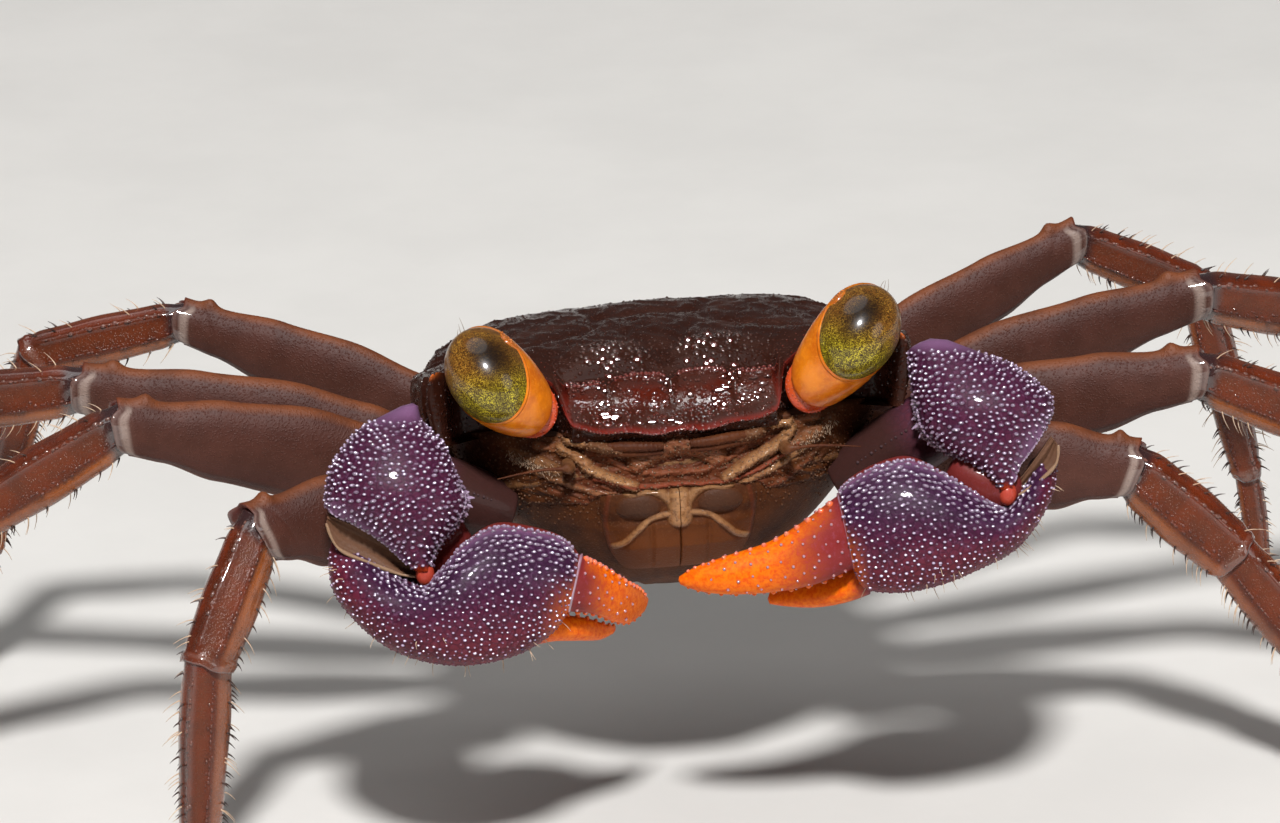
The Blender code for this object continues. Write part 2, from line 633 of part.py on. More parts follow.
def underbody():
    """Body wall and breastplate below the shell."""
    rings = []
    for i in range(11):
        z, half, front, rear, power = spline(BELLY, i / 10)
        middle, reach = (front + rear) / 2, (rear - front) / 2
        ring = []
        for j in range(40):
            c, s = superellipse(2 * math.pi * j / 40, power)
            ring.append(BODY @ Vector((half * c, middle + reach * s, z)))
        rings.append(ring)
    return add_node("underbody", skin_rings(rings), "belly")


def plate(name, grid, aim, tree, thickness, finish):
    """Plate laid on a surface: a grid of points thrown onto it along aim, and raised by thickness."""
    rows, count = len(grid), len(grid[0])
    mesh = bmesh.new()
    low, high = [], []
    for i, row in enumerate(grid):
        low.append([])
        high.append([])
        for j, (p, direction) in enumerate(zip(row, aim[i])):
            hit, normal, _, _ = tree.ray_cast(p, direction, 60.0)
            edge = i in (0, rows - 1) or j in (0, count - 1)
            rise = thickness(i / (rows - 1), j / (count - 1)) * (0.7 if edge else 1.0)
            low[i].append(mesh.verts.new(hit + normal * GAP))
            high[i].append(mesh.verts.new(hit + normal * (GAP + rise)))
    for i in range(rows - 1):
        for j in range(count - 1):
            for layer in (low, high):
                mesh.faces.new((layer[i][j], layer[i][j + 1], layer[i + 1][j + 1], layer[i + 1][j]))
    rim = [(0, j) for j in range(count)] + [(i, count - 1) for i in range(1, rows)]
    rim += [(rows - 1, j) for j in range(count - 2, -1, -1)] + [(i, 0) for i in range(rows - 2, 0, -1)]
    for (i, j), (k, m) in zip(rim, rim[1:] + rim[:1]):
        mesh.faces.new((low[i][j], low[k][m], high[k][m], high[i][j]))
    bmesh.ops.recalc_face_normals(mesh, faces=mesh.faces)
    return add_node(name, mesh, finish)


def from_front(name, corners, rows, columns, tree, thickness, finish):
    """Plate on the front wall; corners are x, z at top inner, top outer, bottom outer, bottom inner."""
    toward = (BODY.to_3x3() @ Vector((0, 1, 0))).normalized()
    grid, aim = [], []
    (ax, az), (bx, bz), (cx, cz), (dx, dz) = corners
    for i in range(rows):
        v = i / (rows - 1)
        line = []
        for j in range(columns):
            u = j / (columns - 1)
            x = (ax * (1 - u) + bx * u) * (1 - v) + (dx * (1 - u) + cx * u) * v
            z = (az * (1 - u) + bz * u) * (1 - v) + (dz * (1 - u) + cz * u) * v
            line.append(BODY @ Vector((x, -14.0, z)))
        grid.append(line)
        aim.append([toward] * columns)
    return plate(name, grid, aim, tree, thickness, finish)


def mouthparts(tree):
    """Ridged bar under the front and the two plates that close the mouth."""
    from_front("epistome", ((-3.15, -1.85), (3.15, -1.85), (3.1, -2.85), (-3.1, -2.85)), 5, 13, tree,
               lambda v, u: 0.55 + 0.15 * math.cos(4 * math.pi * v), "belly")
    for name, side in (("right", -1), ("left", 1)):
        corners = ((0.2 * side, -3.2), (3.1 * side, -3.2), (2.5 * side, -6.3), (0.2 * side, -6.3))
        from_front(f"maxilliped_{name}", corners, 8, 7, tree,
                   lambda v, u: 0.6 + 0.25 * math.exp(-((v - 0.28 - 0.42 * u) / 0.1) ** 2), "belly")


def pleon(tree):
    """Folded tail flap: from the rear edge round under the body, in stepped rings."""
    grid, aim = [], []
    steps = 19
    centre = Vector((0.0, 1.2, -3.9))
    for i in range(steps):
        share = i / (steps - 1)
        angle = math.radians(14.0 + 122.0 * share)
        half = 2.6 - 1.6 * share
        line, rays = [], []
        for j in range(7):
            x = half * (j / 3.0 - 1.0)
            out = Vector((x, centre.y + 14.0 * math.cos(angle), centre.z - 14.0 * math.sin(angle)))
            target = BODY @ Vector((x, centre.y, centre.z))
            line.append(BODY @ out)
            rays.append((target - BODY @ out).normalized())
        grid.append(line)
        aim.append(rays)
    plate("pleon", grid, aim, tree,
          lambda v, u: 0.5 + 0.2 * (1.0 - (v * 6.0) % 1.0) * (1 - (2 * u - 1) ** 2), "belly")


def eye(side_name, tree):
    """Stalk from the orbit to the cornea, and the cornea itself as a domed cap on its end."""
    right = side_name == "right"
    side = -1 if right else 1
    centre = BODY @ Vector(EYE_RIGHT if right else EYE_LEFT)
    slant = math.radians(EYE_SLANT)
    long_axis = (RIGHT * (side * math.cos(slant)) + UP * math.sin(slant)).normalized()
    look = (RIGHT * (side * 0.42) + UP * 0.12 - INWARD * 0.90).normalized()
    long_axis = (long_axis - look * long_axis.dot(look)).normalized()
    short_axis = look.cross(long_axis)

    def oval(lift, scale, sides=18):
        return [centre + look * lift + long_axis * (EYE_LONG * scale * math.cos(2 * math.pi * j / sides))
                + short_axis * (EYE_SHORT * scale * math.sin(2 * math.pi * j / sides))
                for j in range(sides)]

    split = -0.15
    rings = []
    for k in range(6):
        angle = math.radians(2.0 + 14.5 * k)
        rings.append(oval(split + GAP / 2 + 1.55 * math.sin(angle), math.cos(angle)))
    add_node(f"eye_{side_name}", skin_rings(rings, close_end=centre + look * (split + GAP / 2 + 1.56)), "eye")
    root = BODY @ Vector((side * STALK_ROOT[0], STALK_ROOT[1], STALK_ROOT[2]))
    back = (BODY.to_3x3() @ Vector((0, -1, 0))).normalized()
    cup = oval(split - GAP / 2, 1.03)
    base = [root + (p - centre).normalized() * STALK_RADIUS for p in cup]
    base = seat(base, back, tree)
    rings = [base]
    for k in (0.3, 0.62, 0.85):
        ring = [a.lerp(b, k) for a, b in zip(base, cup)]
        middle = sum(ring, Vector()) / len(ring)
        swell = 1.0 + 0.1 * math.sin(math.pi * k)
        rings.append([middle + (p - middle) * swell for p in ring])
    rings.append(cup)
    add_node(f"eyestalk_{side_name}", skin_rings(rings), "stalk")


def antenna(side_name, tree):
    """Short second antenna beside the corner of the front."""
    side = -1 if side_name == "right" else 1
    forward = BODY.to_3x3() @ Vector((0, -1, 0))
    route = [BODY @ Vector((side * x, y, z)) for x, y, z, _ in ANTENNA]
    rings = []
    for i, middle in enumerate(route):
        along = forward if i == 0 else (route[-1] - route[1]).normalized()
        rings.append(circle(middle, along, ANTENNA[i][3], 8))
    rings[0] = seat(rings[0], forward, tree)
    add_node(f"antenna_{side_name}", skin_rings(rings), "stalk")


def clear_scene():
    """Empties the scene before building."""
    for old in list(bpy.data.objects):
        bpy.data.objects.remove(old)


def main():
    """Builds every sub-part."""
    shell = carapace()
    belly = underbody()
    shell_tree = tree_of([shell])
    belly_tree = tree_of([belly])
    mouthparts(belly_tree)
    pleon(belly_tree)
    for side_name in ("right", "left"):
        eye(side_name, shell_tree)
        antenna(side_name, belly_tree)
        elbow, carpus = claw(side_name)
        arm(side_name, elbow, carpus, belly_tree)
        for leg in LEGS:
            walking_leg(leg, side_name, belly_tree)


clear_scene()
PARTS = bpy.data.collections.new("vampire_crab")
bpy.context.scene.collection.children.link(PARTS)
main()
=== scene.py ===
"""Looks of a life-size vampire crab: shell, claws, legs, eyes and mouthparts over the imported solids.

Lengths are millimetres until a mesh is made, where they become metres. The crab faces -Y and its own
left side is +X. Body axes lie in the middle of the carapace; the claws are laid out in the plane that
their outer faces share, measured from the middle of the frontal margin.
"""
import math

import bpy
import numpy as np
from bpy.props import FloatProperty, FloatVectorProperty, IntProperty, PointerProperty
from mathutils import Matrix, Vector
from mathutils.bvhtree import BVHTree


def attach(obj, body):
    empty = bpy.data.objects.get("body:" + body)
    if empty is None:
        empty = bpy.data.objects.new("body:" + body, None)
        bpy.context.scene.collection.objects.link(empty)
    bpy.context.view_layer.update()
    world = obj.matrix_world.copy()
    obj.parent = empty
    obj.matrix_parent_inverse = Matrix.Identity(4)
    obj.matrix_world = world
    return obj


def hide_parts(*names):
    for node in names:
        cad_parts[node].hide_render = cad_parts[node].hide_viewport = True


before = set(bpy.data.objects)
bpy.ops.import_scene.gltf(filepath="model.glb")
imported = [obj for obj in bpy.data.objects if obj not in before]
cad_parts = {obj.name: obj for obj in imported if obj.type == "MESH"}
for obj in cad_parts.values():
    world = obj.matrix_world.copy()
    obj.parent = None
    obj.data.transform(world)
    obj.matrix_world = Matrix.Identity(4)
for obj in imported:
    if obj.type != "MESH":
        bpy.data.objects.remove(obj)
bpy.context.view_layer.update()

bl_info = {
    "name": "Vampire Crab",
    "version": (1, 0, 0),
    "blender": (4, 5, 0),
    "location": "3D View > Sidebar > Crab",
    "description": "Shell, claws, legs, eyes and mouthparts of a small land crab",
    "category": "Add Mesh",
}

MM = 0.001
TURN = 2 * math.pi  # all round
SIDES = (("right", -1), ("left", 1))

# Stance: height of the front's lower edge, pitch and roll in degrees, and where the carapace's middle is
FRONT_HEIGHT = 16.8
BODY_PITCH = 8.0
BODY_ROLL = 2.0
CENTRE_X = 0.43
CENTRE_Y = 0.82

# Carapace, in body axes; MARGIN is its half-width at shares of its length
FRONT_Y = -7.65
FRONT_HALF = 3.95
LIP_Z = -0.9
CREST_T = 0.085
CREST_Z = 0.95
REAR_Y = 7.45
TOP_Z = 1.5
HALF_WIDTH = 9.0
TOOTH_HALF = 8.55
TOOTH_Y = -5.4
ORBIT_Y = -5.3
SHELL_Z = -1.15
LOBE_GROOVE_X = (0.0, 2.28)
MARGIN = ((0.0, TOOTH_HALF), (0.07, 8.6), (0.11, 8.3), (0.16, 8.75), (0.45, HALF_WIDTH), (0.7, 8.7),
          (0.9, 7.7), (1.0, 7.0))

WALL_GRID = (70, 220)
# Grooves of the breastplate, as places along
SUTURES = (-3.6, -0.9, 1.7, 4.2)
# Body below the shell: height, half-width, front, rear, squareness of the outline
BELLY = (
    (-1.0, 8.1, -6.45, 6.7, 3.8),
    (-2.6, 7.7, -6.85, 6.6, 3.1),
    (-4.0, 6.9, -6.75, 6.2, 2.8),
    (-5.5, 5.7, -6.2, 5.7, 2.6),
    (-6.9, 4.1, -5.1, 4.9, 2.5),
    (-7.6, 2.6, -3.9, 4.0, 2.3),
)

# Eyes: middles in body axes, half-lengths, slant in degrees, grid sizes
EYES = {"right": (-6.65, -7.4, 1.72), "left": (6.85, -7.3, 2.08)}
EYE_LONG = 1.85
EYE_SHORT = 1.45
EYE_SLANT = 54.0
EYE_SIDES = 96
# Bristles on top of an eye: place across and length
EYE_HAIRS = ((-0.3, 0.42), (0.05, 0.3), (0.35, 0.22))
CORNEA_RINGS = 64
STALK_ROOT = (5.05, -6.6, 0.05)
STALK_RADIUS = 0.98
STALK_RINGS = 50
LID_RINGS = 12

# Claw plane, in degrees
PLANE_TURN = -6.0
PLANE_LEAN = 22.0
PLANE_ROLL = 1.0

# Slices of the claws: outer or lower edge x, y, inner or upper edge x, y, depth, thickness towards
# the front and towards the back
CARPUS = {
    "right": (
        (-9.9, 0.9, -9.3, 0.9, -0.15, 0.5, 0.8), (-11.2, 0.2, -9.1, 0.3, -0.35, 1.2, 1.3),
        (-11.9, -0.5, -8.4, -0.4, -0.55, 1.7, 1.6), (-12.4, -1.3, -8.0, -1.3, -0.65, 2.0, 1.8),
        (-12.6, -2.1, -7.7, -2.0, -0.75, 2.1, 1.8), (-12.5, -2.8, -7.5, -2.5, -0.85, 2.0, 1.7),
        (-11.5, -3.3, -7.8, -3.2, -0.95, 1.8, 1.4), (-10.5, -3.9, -8.5, -4.1, -1.15, 1.3, 1.0),
        (-9.7, -4.6, -8.8, -4.7, -1.45, 0.9, 0.7), (-9.15, -5.0, -8.85, -5.0, -1.65, 0.4, 0.4),
    ),
    "left": (
        (9.8, 3.3, 8.8, 3.2, 1.2, 0.5, 0.6), (11.1, 2.8, 8.4, 2.9, 1.0, 1.1, 1.2),
        (12.3, 2.3, 8.4, 2.3, 0.9, 1.6, 1.5), (13.4, 1.4, 8.5, 1.5, 0.8, 2.0, 1.7),
        (13.6, 0.8, 8.6, 0.8, 0.7, 2.1, 1.7), (13.3, 0.1, 8.8, 0.1, 0.6, 2.0, 1.6),
        (12.8, -0.6, 9.5, -0.6, 0.4, 1.7, 1.4), (12.3, -1.2, 10.6, -1.2, 0.2, 1.3, 1.0),
        (12.1, -1.7, 11.3, -1.7, -0.1, 0.9, 0.7), (11.9, -2.1, 11.6, -2.1, -0.2, 0.4, 0.4),
    ),
}
PALM = {
    "right": (
        (-12.4, -3.95, -10.8, -4.5, -0.05, 1.0, 1.1), (-12.5, -4.8, -10.0, -5.1, -0.35, 1.4, 1.4),
        (-12.2, -6.0, -9.2, -5.5, -0.65, 1.7, 1.6), (-10.9, -7.4, -8.7, -5.4, -0.85, 1.8, 1.7),
        (-9.6, -8.1, -8.2, -4.8, -0.95, 1.9, 1.8), (-8.1, -8.4, -7.5, -3.9, -0.95, 2.0, 1.8),
        (-6.7, -8.3, -6.5, -3.3, -0.85, 1.9, 1.8), (-5.4, -7.9, -5.3, -3.4, -0.65, 1.7, 1.7),
        (-4.4, -7.2, -4.1, -3.8, -0.45, 1.4, 1.4), (-3.9, -6.5, -3.45, -4.5, -0.25, 1.0, 1.0),
    ),
    "left": (
        (13.7, -0.8, 12.9, -1.0, 1.4, 0.9, 1.0), (13.7, -1.9, 12.5, -1.9, 1.1, 1.3, 1.3),
        (13.2, -3.1, 12.0, -2.6, 0.8, 1.6, 1.5), (12.2, -4.3, 11.6, -2.75, 0.6, 1.7, 1.6),
        (10.9, -5.0, 10.7, -2.2, 0.5, 1.8, 1.7), (9.7, -5.5, 9.5, -1.4, 0.4, 1.9, 1.7),
        (8.4, -5.8, 8.3, -0.9, 0.3, 1.8, 1.6), (7.3, -5.8, 7.1, -1.2, 0.2, 1.6, 1.4),
        (6.7, -5.6, 6.1, -1.8, 0.2, 1.3, 1.2), (6.4, -5.0, 5.8, -2.3, 0.2, 1.0, 0.9),
    ),
}
FINGER = {
    "right": (
        (-3.75, -6.5, -3.3, -4.5, -0.2, 0.85, 0.85), (-3.0, -6.6, -2.7, -4.8, 0.45, 0.8, 0.8),
        (-2.3, -6.9, -1.8, -5.4, 1.55, 0.68, 0.68), (-1.7, -7.0, -1.3, -5.7, 2.65, 0.52, 0.52),
        (-1.15, -6.6, -1.0, -6.15, 3.55, 0.22, 0.22),
    ),
    "left": (
        (6.3, -5.0, 5.7, -2.4, 0.2, 0.9, 0.85), (5.1, -5.5, 4.5, -3.3, 0.3, 0.82, 0.72),
        (3.6, -5.8, 3.3, -4.0, 0.4, 0.7, 0.6), (2.0, -5.9, 1.8, -4.5, 0.5, 0.6, 0.5),
        (0.9, -5.8, 0.7, -4.9, 0.6, 0.45, 0.4), (0.15, -5.55, 0.1, -5.25, 0.7, 0.18, 0.18),
    ),
}
THUMB = {
    "right": (
        (-5.4, -7.8, -5.0, -6.8, 0.15, 0.8, 0.8), (-4.5, -7.6, -4.2, -6.9, 0.55, 0.7, 0.7),
        (-3.6, -7.6, -3.3, -7.0, 1.35, 0.6, 0.6), (-2.8, -7.6, -2.6, -7.2, 2.35, 0.45, 0.45),
        (-2.3, -7.4, -2.2, -7.25, 3.05, 0.22, 0.22),
    ),
    "left": (
        (7.0, -5.9, 6.9, -4.9, 0.9, 0.8, 0.8), (6.2, -6.2, 6.1, -5.3, 1.4, 0.7, 0.7),
        (5.2, -6.4, 5.1, -5.6, 1.9, 0.6, 0.6), (4.2, -6.4, 4.2, -5.8, 2.2, 0.45, 0.45),
        (3.4, -6.3, 3.4, -6.0, 2.4, 0.22, 0.22),
    ),
}
# Skin in the wrist joint: its upper and lower edges in the claw plane, and its depth
WRIST_GAP = {
    "right": (((-12.5, -3.0), (-11.4, -3.45), (-10.3, -4.0), (-9.4, -4.75), (-8.9, -5.05)),
              ((-12.55, -3.3), (-12.1, -4.2), (-10.9, -4.75), (-9.8, -5.15), (-8.95, -5.2)), -0.9),
    "left": (((13.5, -0.2), (13.0, -0.9), (12.55, -1.5), (12.2, -1.9), (11.9, -2.2)),
             ((13.75, -0.5), (13.65, -1.2), (13.0, -1.85), (12.4, -2.25), (11.95, -2.35)), 0.45),
}
# Smooth heel of each hand: places in the claw plane
HEEL = {"right": ((-10.6, -4.9, 0.9), (-9.6, -4.75, 0.75), (-8.6, -4.1, 0.7), (-7.6, -3.45, 0.6)),
        "left": ((12.4, -1.9, 1.6), (11.7, -2.0, 1.4), (10.9, -1.75, 1.2), (9.9, -1.2, 1.0))}
# Rings and sides of the grid of each claw piece
CARPUS_GRID = (120, 144)
PALM_GRID = (170, 150)
THUMB_GRID = (70, 60)
FINGER_GRID = (110, 80)
# Beads along the edges of a wrist: share round it, first and last share along it
WRIST_BEADS = ((0.04, 0.46, 0.9), (0.44, 0.55, 0.9))
# Teeth at the inner angle of a wrist: share along it and length
WRIST_TEETH = ((0.42, 0.12), (0.5, 0.18), (0.545, 0.25), (0.585, 0.18), (0.63, 0.12))
# Rings of a movable finger's root: size and how far back
FINGER_ROOT = ((0.8, 0.55), (0.96, 0.28), (1.06, 0.2), (1.08, 0.12), (1.0, 0.08))
# Angle round a hand where its upper crest runs
CREST_TURN = 0.5
CLAW_ROOT = (6.2, -5.0, -4.1)
ELBOW = {"right": (-10.4, -1.6, 1.2), "left": (10.4, 0.9, 2.2)}

# Walking legs: root, lengths of the four segments, factor on the thickness; then for each leg the
# headings, the rises of the first three segments, and how much further out the root lies
LEGS = {
    "leg1": ((6.6, -2.05, -4.1), (9.9, 5.1, 7.3, 5.2), 1.1),
    "leg2": ((6.9, 0.3, -4.1), (13.4, 6.5, 9.0, 6.2), 1.0),
    "leg3": ((6.5, 3.1, -4.1), (15.0, 6.8, 9.8, 6.6), 0.97),
    "leg4": ((5.3, 5.3, -3.9), (13.0, 6.0, 8.4, 6.7), 0.82),
}
STEPS = {
    "leg1_right": ((-25.0, -50.0, -20.0, -30.0), (4.4, -50.5, -85.0), -0.25),
    "leg2_right": ((-4.0, 2.5, 3.0, 3.0), (14.0, -31.0, -49.0), 0.0),
    "leg3_right": ((6.0, 22.0, 24.0, 24.0), (12.0, -12.0, -54.0), 0.0),
    "leg4_right": ((17.0, 10.0, 14.0, 14.0), (18.0, -14.0, -74.0), 0.0),
    "leg1_left": ((-10.0, -17.0, -18.0, -18.0), (-1.3, -40.0, -51.0), 0.7),
    "leg2_left": ((-4.5, -1.0, 0.0, 0.0), (10.8, -24.0, -56.0), 0.0),
    "leg3_left": ((3.0, 22.0, 24.0, 24.0), (16.5, -18.0, -60.0), 0.0),
    "leg4_left": ((14.0, 13.0, 18.0, 18.0), (23.5, -27.0, -74.0), 0.0),
}
# Half-height and half-thickness of the leg segments at shares of their length
PROFILES = {
    "merus": ((0.0, 1.0, 0.9), (0.09, 1.05, 0.95), (0.15, 0.82, 0.75), (0.3, 1.4, 0.8),
              (0.5, 1.72, 0.85), (0.72, 1.5, 0.8), (0.9, 1.08, 0.75), (1.0, 1.0, 0.74)),
    "carpus": ((0.0, 0.86, 0.68), (0.2, 1.02, 0.76), (0.55, 1.12, 0.8), (0.85, 1.04, 0.76),
               (1.0, 0.98, 0.72)),
    "propodus": ((0.0, 0.9, 0.66), (0.3, 0.98, 0.68), (0.7, 0.86, 0.6), (1.0, 0.74, 0.54)),
    "dactyl": ((0.0, 0.6, 0.46), (0.25, 0.6, 0.44), (0.7, 0.38, 0.3), (1.0, 0.12, 0.12)),
}
# Share of a segment over which its slanted end straightens out
CUT_FADE = 0.3
# Shell of each leg segment: rings and sides of its grid, height of its ridges, glints and bristles along it
SEGMENTS = {
    "merus": (130, 64, 0.0, 0.0, 0),
    "carpus": (80, 64, 0.12, 5.2, 9),
    "propodus": (90, 60, 0.11, 7.5, 20),
    "dactyl": (80, 48, 0.05, 4.5, 16),
}

# Camera: real size of a photo pixel where the front is, distance, and where the front lies in it
PIXEL = 0.036
DISTANCE = 240.0
IMAGE = (1280, 823)
FRONT_PIXEL = (676.5, 431.0)
SENSOR = 36.0


def unit(v):
    """Vectors scaled to length one."""
    return v / np.maximum(np.linalg.norm(v, axis=-1, keepdims=True), 1e-9)


def capped(value):
    """Values held between 0 and 1."""
    return np.clip(value, 0.0, 1.0)


def even(count):
    """Shares from 0 to 1 in even steps."""
    return np.linspace(0.0, 1.0, count)


def ease(value, low, high):
    """0 below low, 1 above high, smooth between."""
    share = capped((np.asarray(value, float) - low) / (high - low))
    return share * share * (3.0 - 2.0 * share)


def fade(value, low, high):
    """1 below low, 0 above high, smooth between."""
    return 1 - ease(value, low, high)


def bell(value, middle, width):
    """1 at the middle, falling away on both sides."""
    return np.exp(-((value - middle) / width) ** 2)


def window(value, low, full, fading, end):
    """Rises from low to full, and falls again from fading to end."""
    return ease(value, low, full) * fade(value, fading, end)


def spline(rows, share):
    """Smooth values at shares 0 to 1 through equally spaced rows of numbers."""
    rows = np.asarray(rows, float)
    last = len(rows) - 1
    place = capped(share) * last
    i = np.minimum(last - 1, place.astype(int))
    t = (place - i)[..., None]
    a, b, c, d = (rows[np.clip(i + step, 0, last)] for step in (-1, 0, 1, 2))
    return 0.5 * (2 * b + (c - a) * t + (2 * a - 5 * b + 4 * c - d) * t * t
                  + (3 * b - a - 3 * c + d) * t * t * t)


def profile(rows, share):
    """Values at shares, eased between rows that start with their share."""
    rows = np.asarray(rows, float)
    share = np.clip(share, rows[0, 0], rows[-1, 0])
    i = np.clip(np.searchsorted(rows[:, 0], share, side="left") - 1, 0, len(rows) - 2)
    mix = ((share - rows[i, 0]) / (rows[i + 1, 0] - rows[i, 0]))[..., None]
    mix = mix * mix * (3.0 - 2.0 * mix)
    return rows[i, 1:] + (rows[i + 1, 1:] - rows[i, 1:]) * mix


def superellipse(angle, power):
    """Unit points of a rounded square; a power of 2 is a circle."""
    c, s = np.cos(angle), np.sin(angle)
    return (np.sign(c) * np.abs(c) ** (2.0 / power), np.sign(s) * np.abs(s) ** (2.0 / power))


def circle(count):
    """Angles once round, in equal steps."""
    return TURN * np.arange(count) / count


def turned(axis, degrees):
    """Rotation about a floor axis as an array."""
    return np.array(Matrix.Rotation(math.radians(degrees), 3, axis))


BODY_TURN = turned("Y", -BODY_ROLL) @ turned("X", -BODY_PITCH)
BODY_PLACE = np.array([CENTRE_X, CENTRE_Y, FRONT_HEIGHT - (BODY_TURN @ (0.0, FRONT_Y, LIP_Z))[2]])


def body(points):
    """Body axes to floor axes."""
    return np.asarray(points, float) @ BODY_TURN.T + BODY_PLACE


FRONT_POINT = body((0.0, FRONT_Y, LIP_Z))


def plane_axes():
    """Right, up and inward directions of the claw plane, which the camera also looks along."""
    turn, lean, roll = (math.radians(a) for a in (PLANE_TURN, PLANE_LEAN, PLANE_ROLL))
    inward = np.array([-math.sin(turn) * math.cos(lean), math.cos(turn) * math.cos(lean),
                       -math.sin(lean)])
    right = np.array([math.cos(turn), math.sin(turn), 0.0])
    up = np.cross(right, inward)
    return (right * math.cos(roll) - up * math.sin(roll),
            right * math.sin(roll) + up * math.cos(roll), inward)


RIGHT, UP, INWARD = plane_axes()


def mirrored(side, places):
    """Places of the left side in body axes, for either side, in floor axes."""
    return body(np.asarray(places) * (side, 1, 1))


def in_plane(x, y, depth):
    """Points of the claw plane, in floor axes."""
    x, y, depth = (np.asarray(v, float)[..., None] for v in (x, y, depth))
    return FRONT_POINT + RIGHT * x + UP * y + INWARD * depth


# Way up and forwards in which wet granules lean, so that the main light glints in them
WET_AIM = np.array([-0.08, -0.78, 0.62])
CAMERA_PLACE = (FRONT_POINT - RIGHT * (FRONT_PIXEL[0] - IMAGE[0] / 2) * PIXEL
                - UP * (IMAGE[1] / 2 - FRONT_PIXEL[1]) * PIXEL - INWARD * DISTANCE)


class Surface:
    """Grid of points with its normals, and places picked on it. An open one is told where it faces."""

    def __init__(self, points, facing=None):
        self.points = points
        self.wrap = facing is None
        if self.wrap:
            over = np.roll(points, -1, 1) - np.roll(points, 1, 1)
            facing = points - points.mean(1, keepdims=True)
        else:
            over = np.gradient(points, axis=1)
        self.along = unit(np.gradient(points, axis=0))
        self.normals = unit(np.cross(self.along, over))
        if (facing * self.normals).sum() < 0:
            self.normals = -self.normals

    def cell(self, row, col):
        """Grid numbers at row and column shares."""
        rows, cols = self.points.shape[:2]
        return (row * (rows - 1)).astype(int), (col * (cols if self.wrap else cols - 1)).astype(int) % cols

    def spread(self, spacing, rng, wanted, tries=14):
        """Picks places at least the spacing apart. wanted gives the chance for row and column shares."""
        p = self.points
        rows, cols = p.shape[:2]
        left, right = (p, np.roll(p, -1, 1)) if self.wrap else (p[:, :-1], p[:, 1:])
        cells = np.linalg.norm(np.cross(left[1:] - left[:-1], right[:-1] - left[:-1]), axis=-1)
        total = cells.sum()
        count = int(tries * total / spacing ** 2)
        pick = rng.choice(cells.size, count, p=(cells / total).ravel())
        i, j = np.divmod(pick, cells.shape[1])
        a, b = rng.random(count), rng.random(count)
        row, col = (i + a) / (rows - 1), (j + b) / cells.shape[1]
        keep = rng.random(count) < wanted(row, col)
        i, j, a, b, row, col = (v[keep] for v in (i, j, a, b, row, col))
        k = (j + 1) % cols

        def blend(values):
            low, high = (values[n, j] * (1 - b)[:, None] + values[n, k] * b[:, None] for n in (i, i + 1))
            return low * (1 - a)[:, None] + high * a[:, None]

        places = blend(p)
        taken, chosen = {}, []
        for n, (x, y, z) in enumerate(np.floor(places / spacing).astype(int)):
            near = (taken.get((x + dx, y + dy, z + dz)) for dx, dy, dz in np.ndindex(3, 3, 3))
            if any(m is not None and ((places[m] - places[n]) ** 2).sum() < spacing ** 2 for m in near):
                continue
            taken[(x + 1, y + 1, z + 1)] = n
            chosen.append(n)
        found = (places, unit(blend(self.normals)), unit(blend(self.along)), row, col)
        return [values[np.array(chosen, int)] for values in found]


def strips(rows, cols, wrap):
    """Faces of a grid of points, numbered row by row."""
    i = np.arange(rows - 1)[:, None]
    j = np.arange(cols if wrap else cols - 1)[None]
    k = (j + 1) % cols
    return np.stack([i * cols + j, i * cols + k, (i + 1) * cols + k, (i + 1) * cols + j], -1).reshape(-1, 4)


def fanned(first, cols, middle):
    """Faces between a ring of points and one in its middle."""
    edge = np.arange(cols)
    return np.stack([first + edge, first + (edge + 1) % cols, np.full(cols, middle)], -1)


